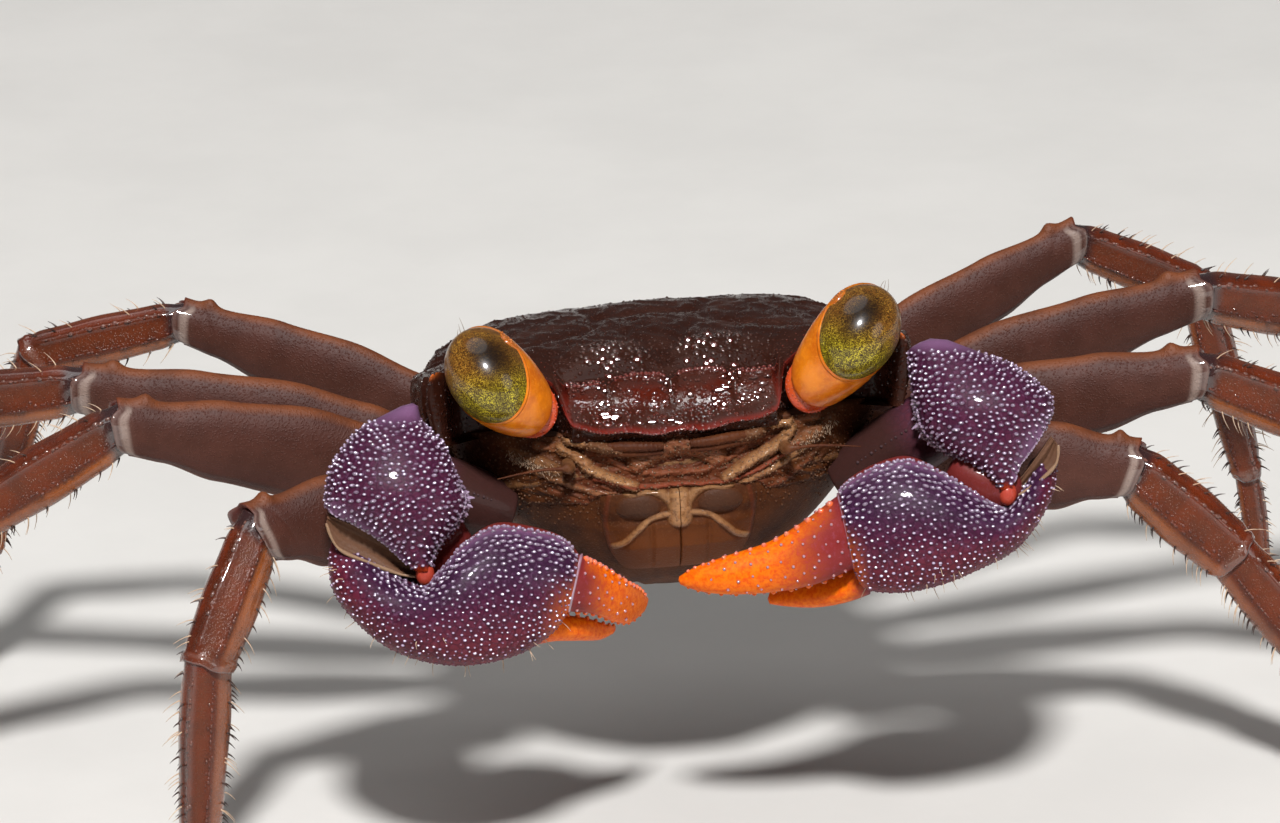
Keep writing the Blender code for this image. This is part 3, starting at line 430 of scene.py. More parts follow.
class Shape:
    """Points and faces of one piece, with named marks on each point for its paint to read."""

    def __init__(self):
        self.points, self.faces, self.marks = [], [], []
        self.count = 0

    def add(self, points, faces, marks):
        """Adds points and faces, given as arrays of corner numbers."""
        self.points.append(points)
        self.faces += [f + self.count for f in faces if len(f)]
        self.marks.append({k: np.broadcast_to(v, len(points)) for k, v in marks.items()})
        self.count += len(points)

    def sheet(self, grid, wrap=True, caps=(None, None), **marks):
        """Grid of points. Each end of a wrapped one may be closed, bulging by the cap's length."""
        rows, cols = grid.shape[:2]
        quads = strips(rows, cols, wrap)
        points = grid.reshape(-1, 3)
        marks = {n: np.broadcast_to(v, (rows, cols)).ravel() for n, v in marks.items()}
        fans = []
        for row, inner, cap in ((0, 1, caps[0]), (rows - 1, rows - 2, caps[1])):
            if cap is None:
                continue
            ring = grid[row]
            middle = ring.mean(0)
            tip = middle + unit(middle - grid[inner].mean(0)) * cap
            points = np.vstack([points, tip])
            fan = fanned(row * cols, cols, len(points) - 1)
            fans.append(fan if row else fan[:, ::-1])
            marks = {n: np.append(v, v[row * cols:(row + 1) * cols].mean()) for n, v in marks.items()}
        if wrap:
            a, b, c, d = (points[quads[:, n]] - points.mean(0) for n in range(4))
            if (np.cross(a, b) * c).sum() + (np.cross(a, c) * d).sum() < 0:
                quads = quads[:, ::-1]
                fans = [f[:, ::-1] for f in fans]
        self.add(points, [quads] + fans, marks)

    def dots(self, where, normal, along, wide, tall, long=None, sides=8, rings=3, **marks):
        """Low domes standing on a surface, longer along one direction and palest at the top; the pale top is
        partly the granule's own paler tone and partly a painted highlight.
        """
        long = wide if long is None else long
        over = unit(np.cross(normal, along))
        along = np.cross(over, normal)
        turn, lift = circle(sides)[None], np.radians(np.linspace(-25.0, 62.0, rings))[:, None]
        c, s = np.cos(lift), np.sin(lift)
        disc = np.stack([c * np.cos(turn), c * np.sin(turn), s + 0 * turn], -1)
        disc = np.vstack([disc.reshape(-1, 3), (0.0, 0.0, 1.0)])
        count, size = len(where), len(disc)
        wide, tall, long = (np.broadcast_to(v, count)[:, None, None] for v in (wide, tall, long))
        points = (where[:, None] + along[:, None] * disc[None, :, :1] * long
                  + over[:, None] * disc[None, :, 1:2] * wide + normal[:, None] * disc[None, :, 2:] * tall)
        quads, tris = strips(rings, sides, True), fanned((rings - 1) * sides, sides, size - 1)
        base = (np.arange(count) * size)[:, None, None]
        marks = {n: np.repeat(np.broadcast_to(v, count), size) for n, v in marks.items()}
        # Painted highlight: the pale mark rises towards each dome's top, partly the granule's own tone and
        # partly a painted glint
        crown_pale_and_highlight = np.append(np.repeat(np.linspace(0.0, 0.85, rings) ** 1.5, sides), 1.0)
        marks["pearl"] = marks.get("pearl", np.zeros(count * size)) * np.tile(crown_pale_and_highlight, count)
        faces = [(f[None] + base).reshape(-1, f.shape[1]) for f in (quads, tris)]
        self.add(points.reshape(-1, 3), faces, marks)

    def strew(self, surface, rng, gap, wanted, sizes, tall, tries=14, lean=0, sides=6, rings=3, **marks):
        """Granules on a surface, their height as a share of their size. A mark may be a grid like it."""
        where, normal, along, row, col = surface.spread(gap, rng, wanted, tries)
        size = rng.uniform(*sizes, len(row))
        spot = surface.cell(row, col)
        marks = {n: v[spot] if np.ndim(v) else v for n, v in marks.items()}
        self.dots(where, unit(normal + WET_AIM * lean), along, size, size * tall, None, sides, rings, **marks)

    def dots_on(self, surface, i, j, wide, tall, long=None, **more):
        """Domes at rows and columns of a surface's grid."""
        self.dots(surface.points[i, j], surface.normals[i, j], surface.along[i, j], wide, tall, long, **more)

    def dots_aimed(self, where, normal, along, wide, tall, long=None, **more):
        """Domes that all stand the same way."""
        normal, along = (np.broadcast_to(v, where.shape) for v in (normal, along))
        self.dots(where, normal, along, wide, tall, long, **more)

    def tube(self, path, radius, sides=8, up=(0.0, 0.0, 1.0), **marks):
        """Round bar along a path."""
        path = np.asarray(path, float)
        along = unit(np.gradient(path, axis=0))
        over = unit(np.cross(along, np.asarray(up, float)))
        rise = np.cross(over, along)
        turn = circle(sides)[None, :, None]
        radius = np.broadcast_to(radius, len(path))[:, None, None]
        grid = path[:, None] + radius * (over[:, None] * np.cos(turn) + rise[:, None] * np.sin(turn))
        self.sheet(grid, caps=(0.0, 0.0), **marks)

    def make(self, name, material, nodes=()):
        """Blender object of the piece, riding on the crab's one body."""
        points = np.concatenate(self.points) * MM
        mesh = bpy.data.meshes.new(name)
        mesh.vertices.add(len(points))
        mesh.vertices.foreach_set("co", points.ravel())
        corners = np.concatenate([f.ravel() for f in self.faces])
        sizes = np.concatenate([np.full(len(f), f.shape[1]) for f in self.faces])
        starts = np.concatenate([[0], np.cumsum(sizes)[:-1]])
        mesh.loops.add(len(corners))
        mesh.loops.foreach_set("vertex_index", corners.astype(np.int32))
        mesh.polygons.add(len(sizes))
        mesh.polygons.foreach_set("loop_start", starts.astype(np.int32))
        mesh.update(calc_edges=True)
        mesh.validate()
        for mark in sorted({k for marks in self.marks for k in marks}):
            values = [m.get(mark, np.zeros(len(p))) for m, p in zip(self.marks, self.points)]
            mesh.attributes.new(mark, "FLOAT", "POINT").data.foreach_set(
                "value", np.concatenate(values).astype(np.float32))
        mesh.materials.append(material)
        mesh.shade_smooth()
        made = bpy.data.objects.new(name, mesh)
        bpy.context.scene.collection.objects.link(made)
        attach(made, "root")
        if nodes:
            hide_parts(*nodes)
        return made


class Wire:
    """Socket that can be used in sums, with numbers and other sockets on either side."""

    def __init__(self, paint, socket):
        self.paint = paint
        self.socket = socket

    def maths(self, operation, first, second):
        return self.paint.node("ShaderNodeMath", {"operation": operation}, {0: first, 1: second})

    def __add__(self, other):
        return self.maths("ADD", self, other)

    __radd__ = __add__

    def __sub__(self, other):
        return self.maths("SUBTRACT", self, other)

    def __rsub__(self, other):
        return self.maths("SUBTRACT", other, self)

    def __mul__(self, other):
        return self.maths("MULTIPLY", self, other)

    __rmul__ = __mul__

    def ease(self, low, high):
        """0 at low, 1 at high, smooth between."""
        return self.paint.node("ShaderNodeMapRange", {"interpolation_type": "SMOOTHSTEP"},
                               {"Value": self, "From Min": low, "From Max": high})


class Paint:
    """Node material of one finish."""

    def __init__(self, name):
        self.material = bpy.data.materials.new(name)
        self.material.use_nodes = True
        self.tree = self.material.node_tree
        self.shader = self.tree.nodes["Principled BSDF"]

    def node(self, kind, settings=None, inputs=None, output=0):
        """Adds a node: its settings first, then the values or links of its sockets."""
        made = self.tree.nodes.new(kind)
        for key, value in (settings or {}).items():
            setattr(made, key, value)
        for key, value in (inputs or {}).items():
            self.join(value, made.inputs[key])
        return Wire(self, made.outputs[output])

    def join(self, value, socket):
        """Links a socket, or sets it to a number or colour."""
        if isinstance(value, Wire):
            self.tree.links.new(value.socket, socket)
        elif socket.type == "RGBA":
            socket.default_value = (*tuple(value)[:3], 1.0)
        else:
            socket.default_value = value

    def mark(self, name):
        """Mark that the mesh carries on its points."""
        return self.node("ShaderNodeAttribute", {"attribute_name": name}, output="Fac")

    def place(self):
        """Place on the piece in millimetres."""
        spot = self.node("ShaderNodeTexCoord", output="Object")
        return self.node("ShaderNodeVectorMath", {"operation": "MULTIPLY"}, {0: spot, 1: (1 / MM,) * 3})

    def noise(self, scale, detail=3.0, rough=0.5):
        """Cloudy pattern, its features about one over the scale in millimetres."""
        sockets = {"Vector": self.place(), "Scale": scale, "Detail": detail, "Roughness": rough}
        return self.node("ShaderNodeTexNoise", None, sockets)

    def cells(self, scale, feature="F1", output="Distance"):
        """Cell pattern: distance to the nearest cell middle, or to the edge between cells."""
        return self.node("ShaderNodeTexVoronoi", {"feature": feature},
                         {"Vector": self.place(), "Scale": scale}, output)

    def mix(self, factor, first, second, blend="MIX"):
        """Mix of two colours."""
        return self.node("ShaderNodeMix", {"data_type": "RGBA", "blend_type": blend},
                         {"Factor": factor, 6: first, 7: second}, 2)

    def layers(self, colour, *layers):
        """Lays colours over another, each with its mask or the name of the mark that is its mask."""
        for mask, layer in layers:
            colour = self.mix(self.mark(mask) if isinstance(mask, str) else mask, colour, layer)
        return colour

    def finish(self, colour, roughness, bumps=(), **others):
        """Joins colour, roughness, bumps (height, depth in millimetres, strength) and other sockets."""
        self.join(colour, self.shader.inputs["Base Color"])
        self.join(roughness, self.shader.inputs["Roughness"])
        normal = None
        for height, depth, strength in bumps:
            inputs = {"Height": height, "Distance": depth * MM, "Strength": strength}
            if normal:
                inputs["Normal"] = normal
            normal = self.node("ShaderNodeBump", None, inputs)
        if normal:
            self.join(normal, self.shader.inputs["Normal"])
        for key, value in others.items():
            self.join(value, self.shader.inputs[key.replace("_", " ")])
        return self.material


def shell_paint(colours):
    """Wet dark carapace: red-brown in front, brown-black with a grey bloom behind, red edges."""
    paint = Paint("carapace_shell")
    cloud = paint.noise(0.55, 5.0, 0.6)
    fine = paint.noise(4.0, 5.0, 0.7)
    speck = paint.cells(6.0)
    colour = paint.layers(
        colours.back, ("front", colours.front), (cloud.ease(0.42, 0.68) * 0.5, colours.bloom),
        (fine.ease(0.5, 0.75) * 0.5, (0.012, 0.004, 0.003)),
        ((1 - speck.ease(0.05, 0.35)) * 0.25, (0.10, 0.022, 0.012)),
        # painted highlight: paler granule tops stand in for wet glints
        (paint.mark("pearl") * 0.5, (0.2, 0.09, 0.07)), ("rim", colours.rim), ("tip", colours.tip))
    rough = 0.12 + 0.25 * cloud.ease(0.4, 0.75)
    bumps = (fine, 0.03, 0.5), (1 - speck.ease(0.0, 0.5), 0.03, 0.6)
    return paint.finish(colour, rough, bumps, Specular_IOR_Level=0.16, Coat_Weight=paint.mark("wet"),
                        Coat_Roughness=0.04, Coat_IOR=1.7)


def claw_paint(colours):
    """Violet to plum claw shell with pearly granules, whose pale tops are partly a painted highlight, redder
    below, orange on the fingers.
    """
    paint = Paint("claw_shell")
    cloud = paint.noise(0.9, 4.0, 0.6)
    fine = paint.noise(6.0, 4.0, 0.65)
    net = (1 - paint.cells(3.6, "DISTANCE_TO_EDGE").ease(0.0, 0.2)) * (1 - paint.mark("smooth"))
    tip = paint.mix(fine.ease(0.35, 0.7), colours.tip, colours.tip_deep)
    colour = paint.layers(
        colours.upper, ("low", colours.lower), (cloud.ease(0.4, 0.7) * 0.4, colours.dark),
        (net * 0.45, colours.dark), (fine.ease(0.5, 0.8) * 0.25, colours.edge), ("edge", colours.edge),
        ("brown", colours.arm), ("red", colours.joint), ("tip", tip), ("pearl", colours.pearl))
    rough = 0.3 + 0.25 * fine
    return paint.finish(colour, rough, ((fine, 0.03, 0.5), (1 - net, 0.01, 0.3)), Specular_IOR_Level=0.1,
                        Coat_Weight=0.04 + 0.96 * paint.mark("pearl").ease(0.0, 0.3), Coat_Roughness=0.05,
                        Coat_IOR=2.1)


def leg_paint(colours):
    """Red-brown leg shell, greyer on the flat faces, amber along the edges and at the joints."""
    paint = Paint("leg_shell")
    cloud = paint.noise(0.8, 4.0, 0.6)
    fine = paint.noise(9.0, 4.0, 0.65)
    speck = paint.cells(11.0)
    colour = paint.layers(
        colours.shade, ("upper", colours.merus), (cloud.ease(0.35, 0.65) * 0.6, colours.dark),
        (paint.mark("face") * (0.3 + 0.6 * (1 - speck.ease(0.1, 0.4))), colours.face),
        (paint.mark("edge") * (1 - 0.4 * cloud.ease(0.4, 0.65)), colours.amber),
        ("joint", colours.joint), ("knee", (0.022, 0.008, 0.009)), ("cream", colours.cream))
    rough = 0.14 + 0.22 * fine + 0.3 * paint.mark("upper")
    return paint.finish(colour, rough, ((fine, 0.04, 0.6), (1 - speck.ease(0.0, 0.5), 0.03, 0.6)),
                        Specular_IOR_Level=0.3, Coat_Weight=paint.mark("pearl"), Coat_Roughness=0.05,
                        Coat_IOR=1.8)


def bristle_paint():
    """Dark spinules and pale hairs."""
    paint = Paint("bristles")
    colour = paint.layers((0.02, 0.008, 0.006), ("pale", (0.62, 0.44, 0.3)),
                          (paint.noise(6.0).ease(0.3, 0.8) * 0.4, (0.12, 0.05, 0.03)))
    return paint.finish(colour, 0.35)


def cornea_paint(colours):
    """Cornea: gold and olive flecks, a painted shade of a brown-black pseudopupil above the middle, polished.
    """
    paint = Paint("cornea")
    tone = paint.node("ShaderNodeSeparateColor", None, {0: paint.cells(38.0, output="Color")})
    coarse = paint.noise(2.6, 3.0, 0.6)
    low, clear = paint.mark("low"), 1 - paint.mark("patch")
    ground = paint.mix(low, colours.amber, colours.olive)
    ground = paint.mix(tone.ease(0.1, 0.6), (0.03, 0.012, 0.002), ground)
    fleck = tone.ease(0.55, 0.95) * (0.25 + 0.75 * coarse.ease(0.3, 0.65)) * (0.45 + 0.55 * low)
    colour = paint.layers(ground, (fleck, paint.mix(low, colours.fleck, colours.fleck_low)),
                          # painted shade: the dark pseudopupil that the eye shows towards the front
                          ((1 - clear) * (1 - 0.06 * tone), colours.patch),
                          ("rim", (0.05, 0.016, 0.004)))
    return paint.finish(colour, 0.3, ((tone, 0.004, 0.2),), Specular_IOR_Level=0.16, Coat_Weight=0.6,
                        Coat_Roughness=0.1)


def stalk_paint(colours):
    """Smooth translucent orange skin of the eye stalks."""
    paint = Paint("eye_stalk")
    cloud = paint.noise(0.8, 4.0, 0.6)
    fine = paint.noise(9.0, 3.0, 0.6)
    colour = paint.layers(
        colours.stalk, (cloud.ease(0.35, 0.65), colours.stalk_deep),
        # painted shade: the shade mark darkens the top of the stalk; pale granule tops are partly a painted
        # highlight
        (fine.ease(0.5, 0.75) * 0.3, (0.78, 0.33, 0.03)), ("shade", (0.12, 0.035, 0.008)),
        ("red", colours.stalk_red), ("strip", (0.3, 0.085, 0.025)), ("pearl", (0.75, 0.45, 0.25)))
    return paint.finish(colour, 0.14 + 0.16 * fine, ((fine, 0.012, 0.4),), Subsurface_Weight=0.2,
                        Subsurface_Radius=(0.0014, 0.0004, 0.0001))


def belly_paint(colours):
    """Brown body wall and mouthparts with tan folds and fine pale granules, their pale tops partly a painted
    highlight.
    """
    paint = Paint("body_wall")
    cloud = paint.noise(0.7, 5.0, 0.65)
    fine = paint.noise(7.0, 4.0, 0.65)
    speck = paint.cells(9.0)
    colour = paint.layers(
        colours.wall, (cloud.ease(0.35, 0.7), colours.wall_dark),
        ((1 - speck.ease(0.05, 0.35)) * 0.3, (0.2, 0.1, 0.05)),
        (fine.ease(0.45, 0.8) * 0.4, (0.05, 0.02, 0.012)),
        (paint.mark("warm") * 0.6, (0.16, 0.045, 0.01)),
        ("red", (0.17, 0.03, 0.015)), ("grey", (0.055, 0.025, 0.015)),
        (paint.mark("tan") * (0.35 + 0.65 * fine.ease(0.3, 0.55)), colours.tan),
        # pale granule tops: partly their own tone, partly a painted highlight
        (paint.mark("pearl") * 0.7, (0.32, 0.22, 0.15)))
    rough = 0.3 + 0.3 * fine
    return paint.finish(colour, rough, ((fine, 0.05, 0.6), (1 - speck.ease(0.0, 0.5), 0.015, 0.5)),
                        Specular_IOR_Level=0.1, Coat_Weight=0.6 * paint.mark("tan"), Coat_Roughness=0.06)


def floor_paint(colour):
    """Pale matt floor with a barely visible grain."""
    paint = Paint("floor")
    grain = paint.noise(0.08, 6.0, 0.6)
    tone = paint.mix(grain.ease(0.3, 0.7), tuple(colour), tuple(c * 0.94 for c in colour))
    return paint.finish(tone, 0.7 + 0.1 * grain, ((grain, 0.2, 0.15),))


def tint(name, description, *colour):
    """Colour that a user may change."""
    return FloatVectorProperty(name=name, description=description, subtype="COLOR", default=colour)


class CrabBodyColours(bpy.types.PropertyGroup):
    """Colours of the shell, the body wall and the eyes."""

    front: tint("Front", "Face between the eyes", 0.075, 0.009, 0.004)
    back: tint("Back", "Top of the carapace", 0.024, 0.0065, 0.0035)
    bloom: tint("Bloom", "Greyish clouds on the shell", 0.048, 0.018, 0.012)
    rim: tint("Rim", "Edges of the front and its crests", 0.14, 0.013, 0.008)
    tip: tint("Tooth tip", "Tips of the outer teeth", 0.65, 0.14, 0.02)
    wall: tint("Body wall", "Wall below the shell", 0.088, 0.027, 0.008)
    wall_dark: tint("Body wall, dark", "Darker clouds on the wall", 0.035, 0.01, 0.004)
    tan: tint("Tan", "Pale folds round the mouth", 0.36, 0.18, 0.075)
    amber: tint("Cornea", "Outer part of the cornea", 0.16, 0.055, 0.006)
    olive: tint("Cornea, low", "Lower part of the cornea", 0.115, 0.085, 0.003)
    fleck: tint("Flecks", "Flecks in the cornea", 0.78, 0.43, 0.06)
    fleck_low: tint("Flecks, low", "Flecks in the lower cornea", 0.68, 0.56, 0.03)
    # Painted shade of the pseudopupil
    patch: tint("Patch", "Dark patch of the cornea", 0.007, 0.0035, 0.002)
    stalk: tint("Stalk", "Eye stalk", 0.7, 0.2, 0.004)
    stalk_deep: tint("Stalk, deep", "Deeper patches of the stalk", 0.46, 0.1, 0.003)
    stalk_red: tint("Stalk base", "Red base of the stalk", 0.42, 0.035, 0.012)


class CrabClawColours(bpy.types.PropertyGroup):
    """Colours of the claws."""

    upper: tint("Upper", "Upper part of the claw", 0.04, 0.01, 0.036)
    lower: tint("Lower", "Lower part of the claw", 0.145, 0.016, 0.026)
    dark: tint("Dark", "Dark clouds on the claw", 0.016, 0.004, 0.014)
    edge: tint("Edge", "Lavender edges", 0.28, 0.14, 0.28)
    # Pale granule tops: partly their pearly tone, partly a painted highlight
    pearl: tint("Granules", "Pearly granules", 0.5, 0.39, 0.53)
    joint: tint("Joint", "Red knobs of the joints", 0.42, 0.04, 0.008)
    tip: tint("Fingers", "Outer part of the fingers", 0.8, 0.165, 0.003)
    tip_deep: tint("Fingers, deep", "Redder patches of the fingers", 0.66, 0.07, 0.001)
    arm: tint("Arm", "Brown arm beside the mouth", 0.038, 0.015, 0.011)


class CrabLegColours(bpy.types.PropertyGroup):
    """Colours of the walking legs."""

    shade: tint("Shell", "Shell of the lower segments", 0.12, 0.018, 0.004)
    merus: tint("Upper leg", "Long upper segment", 0.068, 0.02, 0.013)
    dark: tint("Dark", "Dark clouds", 0.038, 0.009, 0.005)
    face: tint("Face", "Flat speckled faces", 0.14, 0.048, 0.022)
    amber: tint("Edges", "Clear amber edges", 0.4, 0.105, 0.014)
    joint: tint("Joints", "Skin in the joints", 0.1, 0.01, 0.005)
    cream: tint("Joint knobs", "Pale knobs of the joints", 0.42, 0.32, 0.27)


class CrabSizes(bpy.types.PropertyGroup):
    """Sizes that a maker may want to change."""

    granule: FloatProperty(name="Granule", description="Radius of a claw granule in millimetres",
                           default=0.08, min=0.02, max=0.3)
    granule_gap: FloatProperty(name="Granule spacing", description="Least distance of claw granules",
                               default=0.205, min=0.1, max=1.0)
    bristle: FloatProperty(name="Bristle", description="Length of a leg bristle in millimetres",
                           default=0.55, min=0.1, max=1.5)
    seed: IntProperty(name="Seed", description="Start of every random draw", default=7, min=0)


def margin_half(share):
    """Half-width of the carapace from its outer teeth to its rear corners."""
    return profile(MARGIN, share)[..., 0]


def front_edge(x):
    """How far forward the carapace reaches at x: the front, then the orbit, then the outer tooth."""
    x = np.abs(x)
    orbit = ORBIT_Y - 0.9 * fade(x, FRONT_HALF, 5.4)
    orbit = orbit + (TOOTH_Y - 0.75 - ORBIT_Y) * ease(x, 7.4, TOOTH_HALF)
    front = FRONT_Y + 0.05 * bell(x, 0.0, 0.35) + 0.3 * (x / FRONT_HALF) ** 8
    return front + (orbit - front) * ease(x, FRONT_HALF - 0.25, FRONT_HALF + 0.35)


def rear_edge(x):
    """Rear margin, rounded off to the corners."""
    return REAR_Y - 0.30 * np.maximum(0.0, np.abs(x) - 4.2) ** 2


def top_height(x, y):
    """Height of the upper surface away from the front."""
    fall = 0.045 * np.maximum(0.0, -2.0 - y) ** 2 * (1 - 0.8 * ease(np.abs(x), 3.9, 6.5))
    rear = 0.05 * np.maximum(0.0, y - 1.5) ** 2
    side = (0.15 + 1.5 * ease(y, TOOTH_Y, 1.5) + 0.5 * ease(y, 1.0, 5.0)) * (np.abs(x) / 8.8) ** 4
    return TOP_Z - fall - rear - side


# Swellings of the back: height, then place and spread across and along
SWELLINGS = ((0.24, 2.0, 1.2, -4.2, 1.0), (0.16, 0.0, 1.4, -0.9, 1.5), (0.12, 0.0, 1.5, 3.0, 1.4),
             (0.16, 6.0, 1.4, -3.3, 0.9), (0.1, 5.4, 2.0, 1.5, 2.6))
# Slanting ridges near the sides: height, place along, and where they start across
SIDE_RIDGES = ((0.12, -1.6, 6.9), (0.105, 0.0, 6.7), (0.09, 1.6, 6.3), (0.075, 3.1, 5.9))


def shell_relief(x, y):
    """Swellings of the back, the grooves between them and slanting ridges near the sides."""
    a = np.abs(x)
    swellings = sum(high * bell(a, out, wide) * bell(y, back, long)
                    for high, out, wide, back, long in SWELLINGS)
    ridges = sum(high * bell(y, back + 0.55 * (a - out), 0.13) * ease(a, out - 0.9, out - 0.3)
                 for high, back, out in SIDE_RIDGES)
    grooves = (0.16 * bell(a, 0.0, 0.22) * fade(y, -4.6, -3.4)
               + 0.1 * bell(a, 0.35 + 0.33 * (y + 4.2), 0.24) * window(y, -4.6, -3.8, -1.4, -0.4)
               + 0.16 * bell(a, 2.0 + 0.1 * (y - 0.6) ** 2, 0.3) * window(y, -1.2, -0.2, 1.6, 3.2)
               + 0.1 * bell(y, 0.9 + 0.1 * a, 0.3) * fade(a, 1.6, 2.2)
               + 0.12 * bell(y, -0.6 - 0.62 * (a - 2.0), 0.34) * window(a, 1.9, 2.8, 7.0, 8.4))
    uneven = (0.035 * np.sin(3.1 * x + 1.7 * np.sin(2.3 * y)) * np.sin(2.9 * y + 1.3 * np.sin(2.7 * x))
              + 0.02 * np.sin(6.7 * x + 2.0 * y) * np.sin(5.9 * y - 1.5 * x))
    return swellings + ridges + uneven - grooves


def lobe_dent(x):
    """Depth of the grooves between the four lobes of the front: 1 in a groove, 0 on a lobe."""
    a = np.abs(x)
    return np.maximum(bell(a, LOBE_GROOVE_X[0], 0.26), bell(a, LOBE_GROOVE_X[1], 0.3))


def carapace_points(u, share):
    """Points of the upper surface, with marks: u across from -1 to 1, share from front to rear."""
    x = u * margin_half(share)
    a = np.abs(x)
    y = front_edge(x) + (rear_edge(x) - front_edge(x)) * share
    inside = fade(a, FRONT_HALF - 0.3, FRONT_HALF + 0.3)
    top = top_height(x, y) + shell_relief(x, y) * ease(share, CREST_T, 2.4 * CREST_T)
    dent = lobe_dent(x)
    on_face = share <= CREST_T
    arch = 0.12 * np.abs(np.sin(np.pi * np.minimum(a, 2 * LOBE_GROOVE_X[1] - 0.5) / LOBE_GROOVE_X[1])) - 0.06
    lip = LIP_Z + 0.5 * (a / FRONT_HALF) ** 2 + 0.05 * np.sin(3.3 * x + 1.0)
    crest = CREST_Z + 0.12 + arch - 0.26 * ease(a, 2.1, 3.2) - 0.28 * dent
    rise = capped(share / CREST_T)
    hollow = 0.24 * np.sin(np.pi * capped(rise * 1.15)) * (1 - 0.6 * dent)
    bumps = (0.03 * np.sin(5.3 * x + 2.0 * np.sin(9 * rise)) * np.sin(11 * rise + 2.1 * x)
             + 0.018 * np.sin(13.0 * x + 7 * rise) * np.sin(17 * rise - 6 * x))
    onward = np.where(on_face, rise ** 2.2, fade(share, 1.02 * CREST_T, 1.4 * CREST_T))
    push = 0.42 * onward * (1 - 0.75 * dent) + 0.1 * bell(rise, 0.0, 0.05)
    y = y + (np.where(on_face, hollow + bumps * rise, 0.0) - push) * inside
    behind = crest + (top - crest) * ease(share, CREST_T, 2.0 * CREST_T)
    behind = behind - 0.16 * bell(share, 1.5 * CREST_T, 0.025) * (1 - dent)
    face = np.where(on_face, lip + (crest - lip) * rise ** 0.8, behind)
    z = top + (face - top) * inside * (share < 2.0 * CREST_T)
    z = z + 0.16 * window(a, 3.6, 4.6, 8.2, 8.6) * bell(share, 0.0, 0.018) * (1 - inside)
    z = z + 0.4 * bell(a, TOOTH_HALF, 0.45) * bell(share, 0.0, 0.045)
    rim = inside * (bell(share, 0.0, 0.0035) + 0.5 * bell(share, CREST_T, 0.003) * (1 - dent))
    rim = rim + 0.5 * bell(a, FRONT_HALF - 0.12, 0.1) * (share < CREST_T)
    rim = rim + 0.8 * (1 - inside) * bell(share, 0.0, 0.018) * fade(a, 4.8, 6.5)
    marks = {"front": inside * on_face * (0.15 + 0.85 * (1 - dent) * bell(rise, 0.62, 0.26)),
             "rim": capped(rim),
             "tip": bell(a, TOOTH_HALF, 0.2) * fade(share, 0.003, 0.014)}
    return np.stack([x, y, z], -1), marks


def wall_y(x, z):
    """Front wall of the body at a place across and a height, in body axes."""
    z = np.asarray(z, float)
    levels = np.array([row[0] for row in BELLY])
    rows = np.array([[np.interp(-v, -levels, [row[n] for row in BELLY]) for n in (1, 2, 3, 4)]
                     for v in z.ravel()]).reshape(z.shape + (4,))
    half, front, rear, power = (rows[..., n] for n in range(4))
    middle, reach = (front + rear) / 2, (rear - front) / 2
    inner = capped(1 - np.minimum(np.abs(x) / half, 0.999) ** power)
    return middle - reach * inner ** (1.0 / power)


def on_wall(x, z, lift):
    """Points standing off the front wall, in floor axes."""
    x, z, lift = np.broadcast_arrays(*(np.asarray(v, float) for v in (x, z, lift)))
    return body(np.stack([x, wall_y(x, z) - lift, z], -1))


def around(values):
    """Values along the four edges of a grid, once round."""
    return np.concatenate([values[0], values[1:, -1], values[-1, -2::-1], values[-2:0:-1, 0]])


# Rows of the carapace's grid, as shares of its length: from, to and how many
SHELL_ROWS = ((0, 0.02, 9), (0.025, CREST_T * 0.9, 12), (CREST_T * 0.92, CREST_T * 1.3, 16),
              (CREST_T * 1.36, 0.2, 14), (0.209, 1, 84))
SHELL_COLUMNS = 211
# Further columns where the outer lobes of the front begin, on both sides
LOBE_COLUMNS = np.linspace(0.425, 0.5, 22)
# Rows of beads on the front: share of the length, a bead's radius and the distance between them
BEAD_ROWS = ((CREST_T, 0.07, 0.14), (0.0, 0.045, 0.13), (CREST_T * 1.3, 0.07, 0.2))
# Levels of the shell's side, as shares of the way from its edge down to the body
SKIRT_LEVELS = (0.0, 0.04, 0.1, 0.2, 0.35, 0.5, 0.65, 0.8, 0.92, 1.0, 1.0)
# Large wet granules on the face, which gather round these places across and along
WET_X = (-2.7, -2.2, -1.6, -0.4, 0.5, 1.75, 2.3, 2.8, 3.2)
WET_T = (0.12, 0.3, 0.4, 0.6, 0.85)
WET_COUNT = 44
FACE_GRANULES = 300
# Clusters of wet drops: place across and share of the length, the spread of both, how many, and a
# drop's half-width and half-height
DROPS = (
    (-2.5, 0.2, 0.75, 0.045, 13, 0.14, 0.1), (1.4, 0.2, 0.75, 0.045, 16, 0.13, 0.12),
    (-2.5, 0.055, 0.12, 0.012, 5, 0.12, 0.07), (-2.35, 0.022, 0.35, 0.006, 4, 0.24, 0.09),
    (0.3, 0.008, 0.5, 0.003, 4, 0.2, 0.06), (2.1, 0.045, 0.25, 0.004, 2, 0.28, 0.08),
    (1.9, 0.026, 0.3, 0.006, 6, 0.15, 0.11), (3.25, 0.03, 0.12, 0.008, 3, 0.1, 0.09),
    (2.3, 0.082, 0.1, 0.01, 4, 0.1, 0.1), (-0.1, 0.07, 0.1, 0.015, 3, 0.1, 0.09),
)


